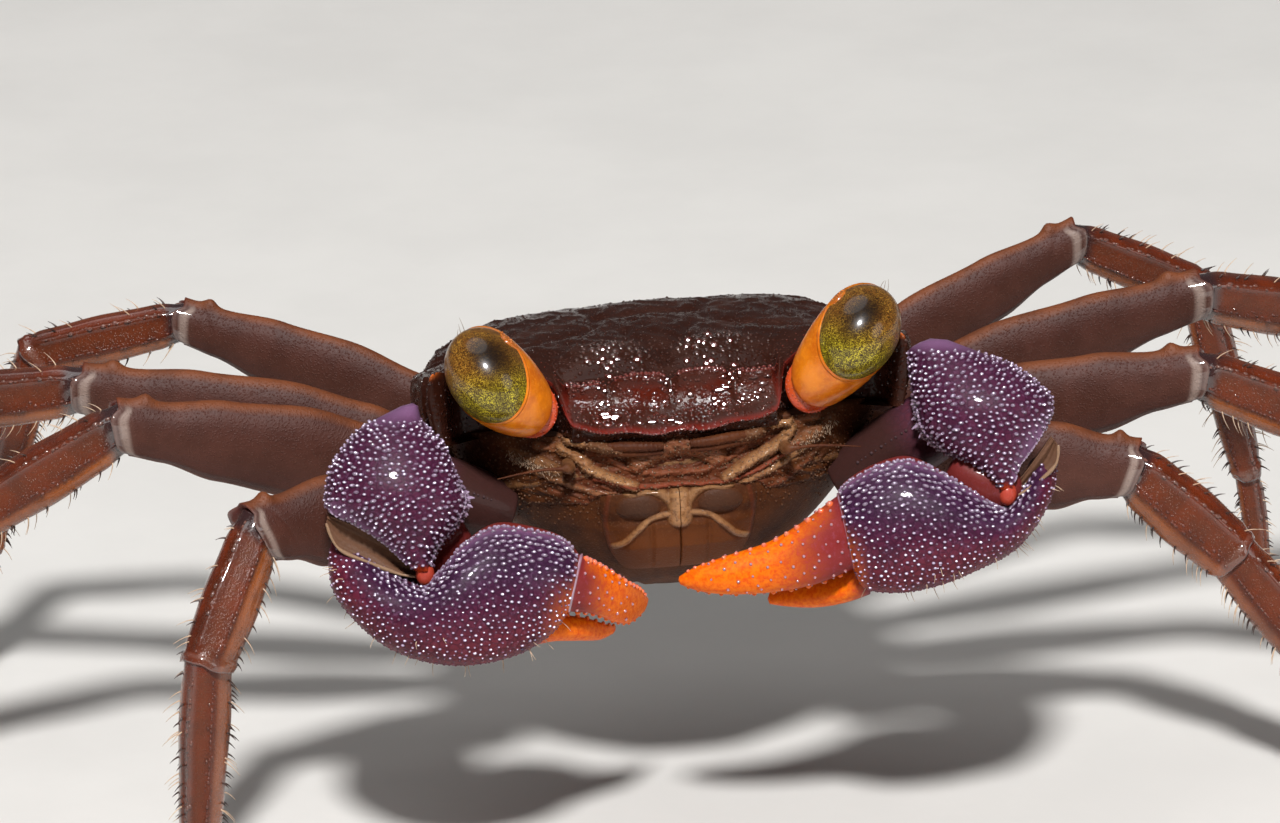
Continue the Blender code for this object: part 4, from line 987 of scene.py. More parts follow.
class CRAB_OT_carapace(bpy.types.Operator):
    """Build the carapace with its front, crests, teeth and granules"""

    bl_idname = "crab.carapace"
    bl_label = "Carapace"

    def execute(self, context):
        rng = np.random.default_rng(context.scene.crab_sizes.seed)
        shape = Shape()
        share = np.concatenate([np.linspace(*run) for run in SHELL_ROWS])
        u = np.linspace(-1, 1, SHELL_COLUMNS)
        u = np.unique(np.concatenate([u, LOBE_COLUMNS, -LOBE_COLUMNS]).round(5))
        grid, marks = carapace_points(u[None, :], share[:, None])
        shape.sheet(body(grid), wrap=False, **marks)
        skirt = self.skirt(shape, grid, marks)
        surface = Surface(body(grid), np.array([0.0, 0.0, 1.0]))
        self.beads(shape, rng)
        self.scatter(shape, surface, rng, share, u)
        shape.strew(Surface(skirt), rng, 0.34, lambda row, _: 0.7 * (row < 0.8), (0.04, 0.09), 0.5,
                    lean=1, rings=2, pearl=0.1, wet=0.8)
        self.drops(shape, rng)
        shape.make("carapace_shell", shell_paint(context.scene.crab_body), ("carapace",))
        return {"FINISHED"}

    def skirt(self, shape, grid, marks):
        """Side of the shell from its edge down to the body, set back below the front and the orbits."""
        rim = around(grid)
        front = ((rim[:, 1] < TOOTH_Y + 0.6) & (np.abs(rim[:, 0]) < TOOTH_HALF - 0.3)).astype(float)
        away = unit(rim * (1.0, 0.6, 0.0))
        away = np.where(front[:, None] > 0, np.array([0.0, -1.0, 0.0]), away)
        for _ in range(6):
            away = unit(away + np.roll(away, 1, 0) + np.roll(away, -1, 0))
            front = (front * 2 + np.roll(front, 1) + np.roll(front, -1)) / 4
        level = np.array(SKIRT_LEVELS)[:, None]
        bulge = 0.25 * np.sin(np.pi * level ** 0.8) + 0.06 - 0.16 * level
        recede = 0.06 * bell(level, 0.06, 0.05) - 0.45 * level ** 0.7
        push = (bulge * (1 - front) + recede * front) * (level > 0)
        push[-1] -= 0.5
        points = rim - np.array([0, 0, 1.0]) * ((rim[:, 2] - SHELL_Z) * level)[..., None]
        points = body(points + away * push[..., None])
        shape.sheet(points, caps=(None, 0.0), rim=around(marks["rim"]) * bell(level, 0.0, 0.12),
                    tip=around(marks["tip"]) * fade(level, 0.0, 0.07))
        return points

    def beads(self, shape, rng):
        """Rows of granules along the crests and the frontal rim, and wet granules on the face."""
        for where, radius, step in BEAD_ROWS:
            count = int(2 * FRONT_HALF / step)
            x = ((np.arange(count) + 0.5) / count * 2 - 1) * (FRONT_HALF - 0.15) + rng.normal(0, 0.02, count)
            t = np.full(count, where) + rng.normal(0, 0.0015, count) * (where > 0)
            keep = (lobe_dent(x) < 0.5) | (where == 0.0)
            size = radius * rng.uniform(0.6, 1.3, count)
            self.stand(shape, x[keep], t[keep], size[keep], 1.1, 0.55, rim=0.45, pearl=0.1)
        count = FACE_GRANULES
        x = rng.uniform(-3.8, 3.8, count)
        t = CREST_T * rng.uniform(0.06, 0.93, count)
        self.stand(shape, x, t, rng.uniform(0.03, 0.07, count), 1.2, 0.5, pearl=0.12, wet=0.3)
        count = WET_COUNT
        x = rng.choice(WET_X, count) + rng.normal(0, 0.2, count)
        t = CREST_T * rng.choice(WET_T, count) + rng.normal(0, 0.003, count)
        size = rng.uniform(0.06, 0.12, count)
        self.stand(shape, np.clip(x, -3.7, 3.7), np.clip(t, 0.002, 0.2), size, 2.0, 0.3)

    def drops(self, shape, rng):
        """Clusters of flat wet drops that catch the light."""
        for x, t, across, back, count, wide, tall in DROPS:
            x = np.clip(rng.normal(x, across, count), -3.8, 3.8)
            t = np.clip(rng.normal(t, back, count), 0.003, 0.4)
            size = tall * rng.uniform(0.75, 1.25, count)
            self.stand(shape, x, t, size, wide / tall, 0.08, lift=0.05)

    def stand(self, shape, x, t, size, long, tall, rim=0.0, pearl=0.0, wet=1.0, lift=0.0):
        """Wet domes at places of the shell, leaning up and forwards. long and tall are shares of size."""
        point, _ = carapace_points(x / margin_half(t), t)
        place = body(point) + WET_AIM * lift
        shape.dots_aimed(place, WET_AIM, BODY_TURN[:, 0], size, size * tall, size * long,
                         rim=rim, front=1.0, pearl=pearl, wet=wet)

    def scatter(self, shape, surface, rng, share, u):
        """Granules over the front half, largest on the lobes behind the front."""
        def place(row, col):
            return (np.interp(row, even(len(share)), share),
                    np.abs(np.interp(col, even(len(u)), u)) * HALF_WIDTH)

        def wanted(row, col):
            t, x = place(row, col)
            ahead = window(t, CREST_T, 1.15 * CREST_T, 0.3, 0.6) * (0.4 + 0.6 * bell(x, 2.0, 2.0))
            return 0.8 * ahead + 0.2 * ease(x, 6.0, 8.5) + 0.08

        where, normal, along, row, col = surface.spread(0.25, rng, wanted, 10)
        t, x = place(row, col)
        lobe = bell(t, 0.21, 0.08) * bell(x, 1.9, 1.5)
        size = (0.04 + 0.11 * lobe) * rng.uniform(0.5, 1.4, len(t))
        normal = unit(normal + WET_AIM * (0.4 + 1.2 * lobe)[:, None])
        # Painted highlight: the pale tops of these granules, strongest on the lobes
        shape.dots(where, normal, along, size, size * (0.7 - 0.2 * lobe), pearl=0.15 + 0.2 * lobe,
                   wet=0.2 + 0.8 * lobe, front=fade(t, CREST_T, 2 * CREST_T))


class CRAB_OT_body(bpy.types.Operator):
    """Build the body wall and breastplate below the shell"""

    bl_idname = "crab.body"
    bl_label = "Body"

    def execute(self, context):
        rng = np.random.default_rng(context.scene.crab_sizes.seed + 1)
        shape = Shape()
        share = even(WALL_GRID[0])
        angle = circle(WALL_GRID[1])
        rows = spline(BELLY, share)
        z, half, front, rear, power = (rows[:, n][:, None] for n in range(5))
        middle, reach = (front + rear) / 2, (rear - front) / 2
        c, s = superellipse(angle[None], power)
        x, y = half * c, middle + reach * s
        sutures = sum(bell(y, back + 0.05 * np.abs(x), 0.12) for back in SUTURES)
        groove = 0.1 * sutures * ease(-z, 4.6, 6.2)
        sides = ease(-y, 2.0, 4.0)
        level = -2.25 - 0.02 * x * x
        ridge = 0.12 * bell(z, level, 0.14) * sides
        scale = 1 + (ridge - groove) / np.maximum(np.hypot(x, y - middle), 1.0)
        grid = np.stack(np.broadcast_arrays(x * scale, middle + (y - middle) * scale, z + groove * 0.8), -1)
        surface = Surface(body(grid))
        shape.sheet(surface.points, caps=(0.0, 0.12), tan=bell(z, level, 0.16) * sides * 0.35)

        def wanted(row, col):
            height = np.interp(row, share, rows[:, 0])
            return 0.9 * bell(col * TURN, 0.75 * TURN, 1.0) * fade(-height, 3.4, 4.6)

        shape.strew(surface, rng, 0.2, wanted, (0.03, 0.055), 1.1, 9, pearl=0.2)
        self.hips(shape)
        shape.make("body_wall", belly_paint(context.scene.crab_body), ("underbody",))
        return {"FINISHED"}

    def hips(self, shape):
        """Short hip ring where each walking leg leaves the body."""
        for step, (turns, rises, _) in STEPS.items():
            side, start = leg_root(step)
            out = heading(side, turns[0], rises[0])
            path = start + out * np.linspace(-0.6, 1.7, 12)[:, None]
            width = 1.15 + 0.16 * np.sin(np.linspace(0, np.pi * 1.6, 12))
            width[-1] = 0.9
            shape.tube(path, width, 20, red=0.15)


# Folds round the mouth: places across and up, radius, height, then how tan, red and grey they are
FOLDS = (
    (((-1.45, -2.12), (-0.6, -1.75), (0.1, -1.66), (0.8, -1.75), (1.45, -2.15)), 0.4, 0.5, 0.22, 0.25, 0.0),
    (((-3.3, -2.18), (-2.5, -2.58), (-1.6, -2.98)), 0.21, 0.5, 0.85, 0.0, 0.0),
    (((3.34, -2.1), (2.65, -2.42), (1.75, -2.95)), 0.23, 0.5, 0.8, 0.0, 0.0),
    (((4.25, -1.45), (3.95, -1.8), (3.45, -2.12)), 0.25, 0.5, 0.72, 0.0, 0.0),
    (((-4.15, -1.45), (-3.65, -1.75), (-3.25, -2.08)), 0.24, 0.45, 0.6, 0.1, 0.0),
    (((-3.85, -1.14), (-3.4, -1.18)), 0.24, 0.7, 0.75, 0.0, 0.0),
    (((3.65, -1.14), (4.15, -1.14)), 0.24, 0.7, 0.85, 0.0, 0.0),
    (((-3.1, -1.25), (-2.5, -1.45), (-1.9, -1.62)), 0.3, 0.6, 0.2, 0.0, 0.45),
    (((1.9, -1.62), (2.5, -1.42), (3.1, -1.3)), 0.3, 0.6, 0.2, 0.0, 0.4),
    (((-5.9, -1.7), (-5.1, -1.92), (-4.4, -2.28)), 0.32, 0.3, 0.35, 0.0, 0.1),
    (((4.35, -2.1), (5.1, -1.8), (5.9, -1.48)), 0.3, 0.32, 0.3, 0.25, 0.0),
    (((-3.0, -2.62), (-1.5, -3.02), (0.0, -3.06), (1.6, -3.1), (3.0, -2.78), (4.5, -2.02)),
     0.1, 0.34, 0.1, 0.8, 0.0),
    (((-5.3, -2.2), (-4.33, -2.62), (-3.2, -3.1), (-2.3, -3.3)), 0.13, 0.3, 0.35, 0.3, 0.0),
    (((2.3, -3.25), (3.1, -3.0), (3.97, -2.6), (4.9, -2.1)), 0.14, 0.32, 0.6, 0.0, 0.0),
    (((-2.4, -1.95), (-1.6, -2.36), (-0.8, -2.55), (0.0, -2.6), (0.9, -2.6), (1.7, -2.36), (2.5, -1.9)),
     0.14, 0.3, 0.15, 0.4, 0.0),
    (((-5.0, -1.3), (-4.4, -1.42)), 0.16, 0.3, 0.2, 0.3, 0.0),
    (((4.6, -1.25), (5.3, -1.15)), 0.16, 0.3, 0.2, 0.3, 0.0),
    (((-4.6, -3.0), (-3.6, -3.5), (-3.05, -3.7)), 0.12, 0.14, 0.1, 0.35, 0.0),
    (((3.1, -3.7), (3.9, -3.35), (4.9, -2.7)), 0.12, 0.14, 0.1, 0.35, 0.0),
)
FOLD_GRID = (330, 96)
# Ridges on one mouth plate, in the same way
PLATE_RIDGES = (
    (((0.04, -3.55), (0.04, -3.95), (0.06, -4.3)), 0.42, 0.34, 0.9, 0.0, 0.0),
    (((0.3, -3.7), (0.62, -3.36), (1.1, -3.17), (1.85, -3.2)), 0.2, 0.3, 0.6, 0.0, 0.0),
    (((0.3, -4.15), (1.05, -4.3), (1.6, -4.75), (2.1, -5.22), (2.8, -5.45)), 0.13, 0.34, 0.7, 0.05, 0.0),
    (((2.55, -3.3), (2.7, -4.3), (2.5, -5.9)), 0.1, 0.09, 0.0, 0.25, 0.0),
)
PLATE_GRID = (90, 110)
# Patches of hairs beside the folds: from, to, and how many
HAIR_PATCHES = (((-5.9, -1.72), (-4.4, -2.3), 150), ((4.4, -2.1), (5.9, -1.5), 110))


def folded(x, z, folds):
    """Height and marks of raised folds at places of the front wall."""
    total = {name: np.zeros(x.shape) for name in ("rise", "tan", "red", "grey")}
    for line, radius, height, *tones in folds:
        path = spline(line, even(6 * len(line)))
        near = np.full(x.shape, 9.0)
        for (ax, az), (bx, bz) in zip(path, path[1:]):
            dx, dz = bx - ax, bz - az
            t = capped(((x - ax) * dx + (z - az) * dz) / (dx * dx + dz * dz))
            near = np.minimum(near, np.hypot(x - ax - t * dx, z - az - t * dz))
        full = capped(1 - (near / radius) ** 2)
        height = height * (1.0 if radius > 0.2 else 0.55)
        total["rise"] = np.maximum(total["rise"], height * full ** 0.75)
        for name, tone in zip(("tan", "red", "grey"), tones):
            total[name] = total[name] * (1 - full ** 0.5) + tone * full ** 0.5
    return total.pop("rise"), total


class CRAB_OT_mouth(bpy.types.Operator):
    """Build the folds under the front, the hairs beside them and the plates that close the mouth"""

    bl_idname = "crab.mouth"
    bl_label = "Mouthparts"

    def execute(self, context):
        rng = np.random.default_rng(context.scene.crab_sizes.seed + 2)
        paint = belly_paint(context.scene.crab_body)
        self.bar(paint, rng)
        self.hairs(rng)
        for name, side in SIDES:
            self.plate(name, side, paint)
        return {"FINISHED"}

    def bar(self, paint, rng):
        """Folds between the frontal margin and the mouth."""
        shape = Shape()
        x, v = np.meshgrid(np.linspace(-6.3, 6.3, FOLD_GRID[0]), even(FOLD_GRID[1]))
        a = np.abs(x)
        z = -1.02 - (2.35 + 0.35 * ease(a, 2.8, 3.4)) * v
        rise, marks = folded(x, z, FOLDS)
        ground = 0.16 + 0.5 * fade(v, 0.05, 0.45) * fade(a, 2.6, 3.9)
        uneven = (0.06 * np.sin(5 * x + 3 * np.sin(4 * z)) * np.sin(7 * z + 2 * np.sin(3 * x))
                  + 0.03 * np.sin(11 * x + 4 * np.sin(6 * z)) * np.sin(13 * z + 5 * x))
        ends = fade(a, 5.2, 6.3) * np.minimum(1.0, 14 * (1 - v))
        grid = on_wall(x, z, (ground + 0.72 * rise + uneven) * ends - 0.04)
        marks["red"] = capped(marks["red"] + 0.2 * fade(a, 3.0, 4.5))
        shape.sheet(grid, wrap=False, **marks)
        surface = Surface(grid, -INWARD)
        pale = np.maximum(marks["tan"], marks["grey"])
        shape.strew(surface, rng, 0.13, lambda row, col: 0.12 + 0.85 * pale[surface.cell(row, col)],
                    (0.02, 0.05), 1.1, 7, pearl=0.6, tan=pale * 0.6)
        shape.make("mouth_bar", paint, ("epistome",))

    def hairs(self, rng):
        """Short pale hairs in a patch at each side of the folds."""
        shape = Shape()
        for start, end, count in HAIR_PATCHES:
            t = rng.random(count)
            x, z = (a + (b - a) * t + rng.normal(0, loose, count)
                    for a, b, loose in zip(start, end, (0.12, 0.11)))
            for foot, out in zip(on_wall(x, z, 0.3), on_wall(x, z, 0.9)):
                length = rng.uniform(0.14, 0.26)
                lean = RIGHT * rng.normal(0, 0.25) - UP * rng.uniform(0.0, 0.5)
                path = foot + unit(unit(out - foot) + lean) * np.linspace(0, length, 5)[:, None]
                shape.tube(path, np.linspace(0.016, 0.006, 5), 4, pale=0.75)
        shape.make("mouth_hairs", bristle_paint())

    def plate(self, name, side, paint):
        """Mouth plate: long lower part, oval upper part and the pale ridge that crosses it."""
        shape = Shape()
        u, v = np.meshgrid(*(even(count) for count in PLATE_GRID))
        z = -3.08 - 3.5 * v
        x = 0.015 + (2.935 - 0.15 * v - 0.75 * v ** 3) * u
        rise, marks = folded(x, z, PLATE_RIDGES)
        oval = capped(1 - np.hypot((x - 1.5) / 0.82, (z + 3.82) / 0.5) ** 2)
        lower = 0.16 * ease(z, -4.3, -4.7) * (1 - 0.6 * bell(x, 1.05, 0.1))
        ground = 0.24 + 0.2 * oval ** 0.6 + lower - 0.08 * bell(x, 0.0, 0.04) * (marks["tan"] < 0.3)
        ends = (np.sqrt(capped(1 - u ** 8)) * np.minimum(1, 18 * v)
                * np.sqrt(capped(1 - v ** 10)))
        grid = on_wall(x * side, z, (ground + 0.75 * rise) * ends - 0.05)
        grey = 0.8 * (oval > 0) * oval ** 0.3 * (1 - marks["tan"])
        marks["grey"] = capped(marks["grey"] + grey)
        marks["warm"] = ease(-z, 4.2, 5.2)
        shape.sheet(grid, wrap=False, **marks)
        shape.make(f"mouth_plate_{name}", paint, (f"maxilliped_{name}",))


# Tail flap: its grid, the line across the body that it is wrapped round (along, up), and its rings
TAIL_GRID = (90, 31)
TAIL_AXIS = (1.2, -3.9)
TAIL_RINGS = 6.5


class CRAB_OT_tail(bpy.types.Operator):
    """Build the folded tail flap"""

    bl_idname = "crab.tail"
    bl_label = "Tail flap"

    def execute(self, context):
        wall = bpy.data.objects["body_wall"].data
        tree = BVHTree.FromPolygons([v.co / MM for v in wall.vertices],
                                    [f.vertices[:] for f in wall.polygons])
        rows, cols = TAIL_GRID
        grid, ring = np.zeros((rows, cols, 3)), np.zeros((rows, cols))
        y, z = TAIL_AXIS
        for i, j in np.ndindex(rows, cols):
            share, u = i / (rows - 1), j / (cols - 1) * 2 - 1
            angle = math.radians(12.0 + 126.0 * share)
            half = (2.75 - 1.5 * share) * math.sqrt(max(0.02, 1 - max(0.0, share - 0.8) ** 2 / 0.0401))
            step = (share * TAIL_RINGS) % 1.0
            out = body((half * u, y + 13 * math.cos(angle), z - 13 * math.sin(angle)))
            aim = Vector(body((half * u, y, z)) - out).normalized()
            hit, normal, _, _ = tree.ray_cast(Vector(out), aim, 30.0)
            edge = min(1.0, 5 * (1 - abs(u)), 14 * share + 0.2, 10 * (1 - share))
            rise = (0.62 + 0.16 * (1 - step) - 0.12 * (step > 0.93)) * edge - 0.05
            grid[i, j] = np.array(hit) + np.array(normal) * rise
            ring[i, j] = step
        shape = Shape()
        shape.sheet(grid, wrap=False, tan=0.35 * ease(ring, 0.8, 0.95), red=0.15)
        shape.make("tail_flap", belly_paint(context.scene.crab_body), ("pleon",))
        return {"FINISHED"}


class CRAB_OT_eyes(bpy.types.Operator):
    """Build both eyes: cornea, its rim and the orange stalk"""

    bl_idname = "crab.eyes"
    bl_label = "Eyes"

    def execute(self, context):
        colours = context.scene.crab_body
        cornea, stalk, hair = cornea_paint(colours), stalk_paint(colours), bristle_paint()
        for name, side in SIDES:
            self.eye(name, side, cornea, stalk, hair)
        return {"FINISHED"}

    def eye(self, name, side, cornea, stalk, hair):
        """Cornea, longest from its inner lower end to its outer upper one, then its stalk and hairs."""
        centre = body(EYES[name])
        slant = math.radians(EYE_SLANT)
        look = unit(RIGHT * (side * 0.42) + UP * 0.12 - INWARD * 0.90)
        long_axis = RIGHT * (side * math.cos(slant)) + UP * math.sin(slant)
        long_axis = unit(long_axis - look * (long_axis @ look))
        short_axis = np.cross(look, long_axis)
        chord = unit(-side * RIGHT * 0.715 + UP * 0.70)
        turn = circle(EYE_SIDES)

        def oval(lift, scale):
            """Ring round the eye's axis."""
            lift, scale = (np.broadcast_to(v, EYE_SIDES)[:, None] for v in (lift, scale))
            return (centre + look * lift + long_axis * (EYE_LONG * scale * np.cos(turn)[:, None])
                    + short_axis * (EYE_SHORT * scale * np.sin(turn)[:, None]))

        def dome(climb, grow=1.0):
            """Ring on the cornea, or off it by a factor."""
            widest = math.cos(math.radians(6))
            return oval((-0.1 + 1.62 * np.sin(climb)) * grow, np.cos(climb) / widest * grow)

        climb = np.radians(np.linspace(-14, 88, CORNEA_RINGS))
        grid = np.array([dome(a) for a in climb])
        away = grid - centre
        across, height, inner = (away @ RIGHT) * side, away @ UP, away @ chord
        low = fade(height + 0.25 * across, -1.0, 0.6)
        sink, shift = (0.1, 0.57) if side < 0 else (0.0, 0.37)
        along = away @ np.cross(look, chord)
        # Painted shade: dark pseudopupil above the middle of the cornea
        patch = np.exp(-((along + sink) ** 2 + ((inner - shift) / 0.72) ** 2) ** 1.6)
        edge = np.broadcast_to(fade(np.degrees(climb), -4.0, 5.0)[:, None], low.shape)
        shape = Shape()
        shape.sheet(grid, caps=(0.0, 0.004), low=low, patch=patch, rim=edge)
        shape.make(f"cornea_{name}", cornea, (f"eye_{name}",))
        reach = (oval(0.0, 1.0) - centre) @ chord
        rise = np.arccos(capped(1.4 / np.maximum(reach, 1.4)))
        self.stalk(name, side, centre, oval, dome, rise, stalk)
        self.hairs(name, centre, look, long_axis, short_axis, hair)

    def stalk(self, name, side, centre, oval, dome, rise, paint):
        """Stalk from the corner of the front, swelling into a cup that rises over the cornea inside."""
        root = mirrored(side, STALK_ROOT)
        rng = np.random.default_rng(90 + side)
        shape = Shape()
        cup = oval(-0.12, 1.03)
        base = root + unit(cup - centre) * STALK_RADIUS
        k = even(STALK_RINGS)[:, None, None]
        rings = base * (1 - k) + cup * k
        middle = rings.mean(1, keepdims=True)
        swell = 1 + 0.12 * np.sin(np.pi * k) ** 0.8 - 0.16 * bell(k, 0.16, 0.07)
        rings = middle + (rings - middle) * swell
        covered = capped(rise / 0.5)
        climbs = np.linspace(0.1, 1, LID_RINGS)
        lid = [dome((rise + 0.03) * t - 0.01, 1.035 + 0.02 * covered) for t in climbs]
        grid = np.concatenate([rings, lid, [dome(rise + 0.03, 1.02), dome(rise + 0.07, 0.985)]])
        red, strip = np.zeros(grid.shape[:2]), np.zeros(grid.shape[:2])
        red[:STALK_RINGS] = (0.6 * fade(k, 0.1, 0.6) + 0.4 * fade(k, 0.04, 0.22))[..., 0]
        strip[STALK_RINGS:] = covered * np.append(ease(climbs, 0.1, 0.7), (1, 1))[:, None]
        # Painted shade: the stalk grows darker towards its top
        shade = 0.55 * ease((grid - centre) @ UP, 0.2, 1.6) * (1 - strip) * (1 - red)
        shape.sheet(grid, caps=(0.3, 0.0), red=red * 0.9, strip=strip, shade=shade)
        surface = Surface(grid)

        def wanted(row, col):
            spot = surface.cell(row, col)
            return capped(0.9 * strip[spot] + 0.8 * ease(red[spot], 0.5, 0.9) * (row > 0.02))

        shape.strew(surface, rng, 0.12, wanted, (0.025, 0.045), 1, 9, pearl=0.12, strip=strip * 0.6, red=red)
        shape.make(f"stalk_{name}", paint, (f"eyestalk_{name}",))

    def hairs(self, name, centre, look, long_axis, short_axis, hair):
        """Few short bristles on top of the eye."""
        shape = Shape()
        for n, (k, length) in enumerate(EYE_HAIRS):
            foot = centre + long_axis * EYE_LONG * 0.97 + short_axis * k * 0.5 + look * 0.2
            path = foot + (long_axis * 0.6 + UP * 0.7) * np.linspace(-0.1, 1, 7)[:, None] * length
            path = path + RIGHT * (even(7) ** 2 * 0.08 * (n - 1))[:, None]
            shape.tube(path, np.linspace(0.016, 0.005, 7), 5, pale=0.3)
        shape.make(f"eye_bristles_{name}", hair)


# Course of a second antenna in body axes, and its radius at shares of it
FEELER = ((3.95, -6.7, -2.0), (3.95, -7.35, -1.98), (4.15, -7.75, -1.9), (4.9, -7.85, -1.85),
          (5.7, -7.9, -1.9), (6.6, -8.0, -2.0))
FEELER_RADII = ((0, 0.2, 0.36, 0.42, 0.5, 1.0), (0.22, 0.24, 0.19, 0.11, 0.065, 0.02))
# Folded first antennae: height, how far forward, thickness
FOLDED = ((-1.42, -7.38, 0.14), (-1.68, -7.26, 0.1))


class CRAB_OT_feelers(bpy.types.Operator):
    """Build the second antennae and the folded first ones"""

    bl_idname = "crab.feelers"
    bl_label = "Feelers"

    def execute(self, context):
        paint = belly_paint(context.scene.crab_body)
        for name, side in SIDES:
            shape = Shape()
            t = even(90)
            path = mirrored(side, spline(FEELER, t))
            radius = np.interp(t, *FEELER_RADII) * (1 + 0.1 * np.sin(t * 150) * (t > 0.45))
            shape.tube(path, radius, 14, tan=0.3 * fade(t, 0.2, 0.5)[:, None], red=0.1)
            t = even(44)
            for level, out, thick in FOLDED:
                fold = ((0.5, out, level - 0.05), (1.2, out - 0.1, level), (2.1, out, level + 0.06),
                        (2.9, out + 0.25, level + 0.05))
                rings = thick + 0.05 * np.sin(np.pi * t) + 0.012 * np.sin(90 * t)
                shape.tube(mirrored(side, spline(fold, t)), rings, 12, grey=0.1, red=0.1)
            shape.make(f"feelers_{name}", paint, (f"antenna_{name}",))
        return {"FINISHED"}


def slices(rows, grid, power):
    """Claw piece through its slices: points, shares along it, angles from its inner edge over the front."""
    s, a = even(grid[0]), circle(grid[1])
    ax, ay, bx, by, depth, front, back = spline(rows, s).T
    centre = in_plane((ax + bx) / 2, (ay + by) / 2, depth)[:, None]
    half = (RIGHT * ((bx - ax) / 2)[:, None] + UP * ((by - ay) / 2)[:, None])[:, None]
    across, out = superellipse(a, power)
    thick = np.where(out > 0, front[:, None] * out, back[:, None] * out)
    return centre + half * across[None, :, None] - INWARD * thick[..., None], s[:, None], a[None]


def numbers(first, last, count):
    """Grid numbers from first to last, nearly evenly spaced."""
    return np.linspace(first, last, count).astype(int)


def nested(ring, back, steps):
    """Rings round the middle of another: for each its size and how far back it lies."""
    middle = ring.mean(0)
    return [middle + (ring - middle) * size + back * far for size, far in steps]


def glisten(shape, where, normal, size, rng):
    """Tiny wet facets on granules that face the light; their pale colour is a painted highlight."""
    lit = (normal @ WET_AIM > 0.15) & (rng.random(len(where)) < 0.9)
    where = where[lit] + normal[lit] * (size[lit] * 0.6)[:, None] + WET_AIM * 0.012
    wide = rng.uniform(0.025, 0.07, len(where))
    # painted highlight: the facets take the pale granule colour
    shape.dots_aimed(where, WET_AIM, RIGHT, wide, wide * 0.12, wide * 1.3, sides=6, rings=2, pearl=1.0)


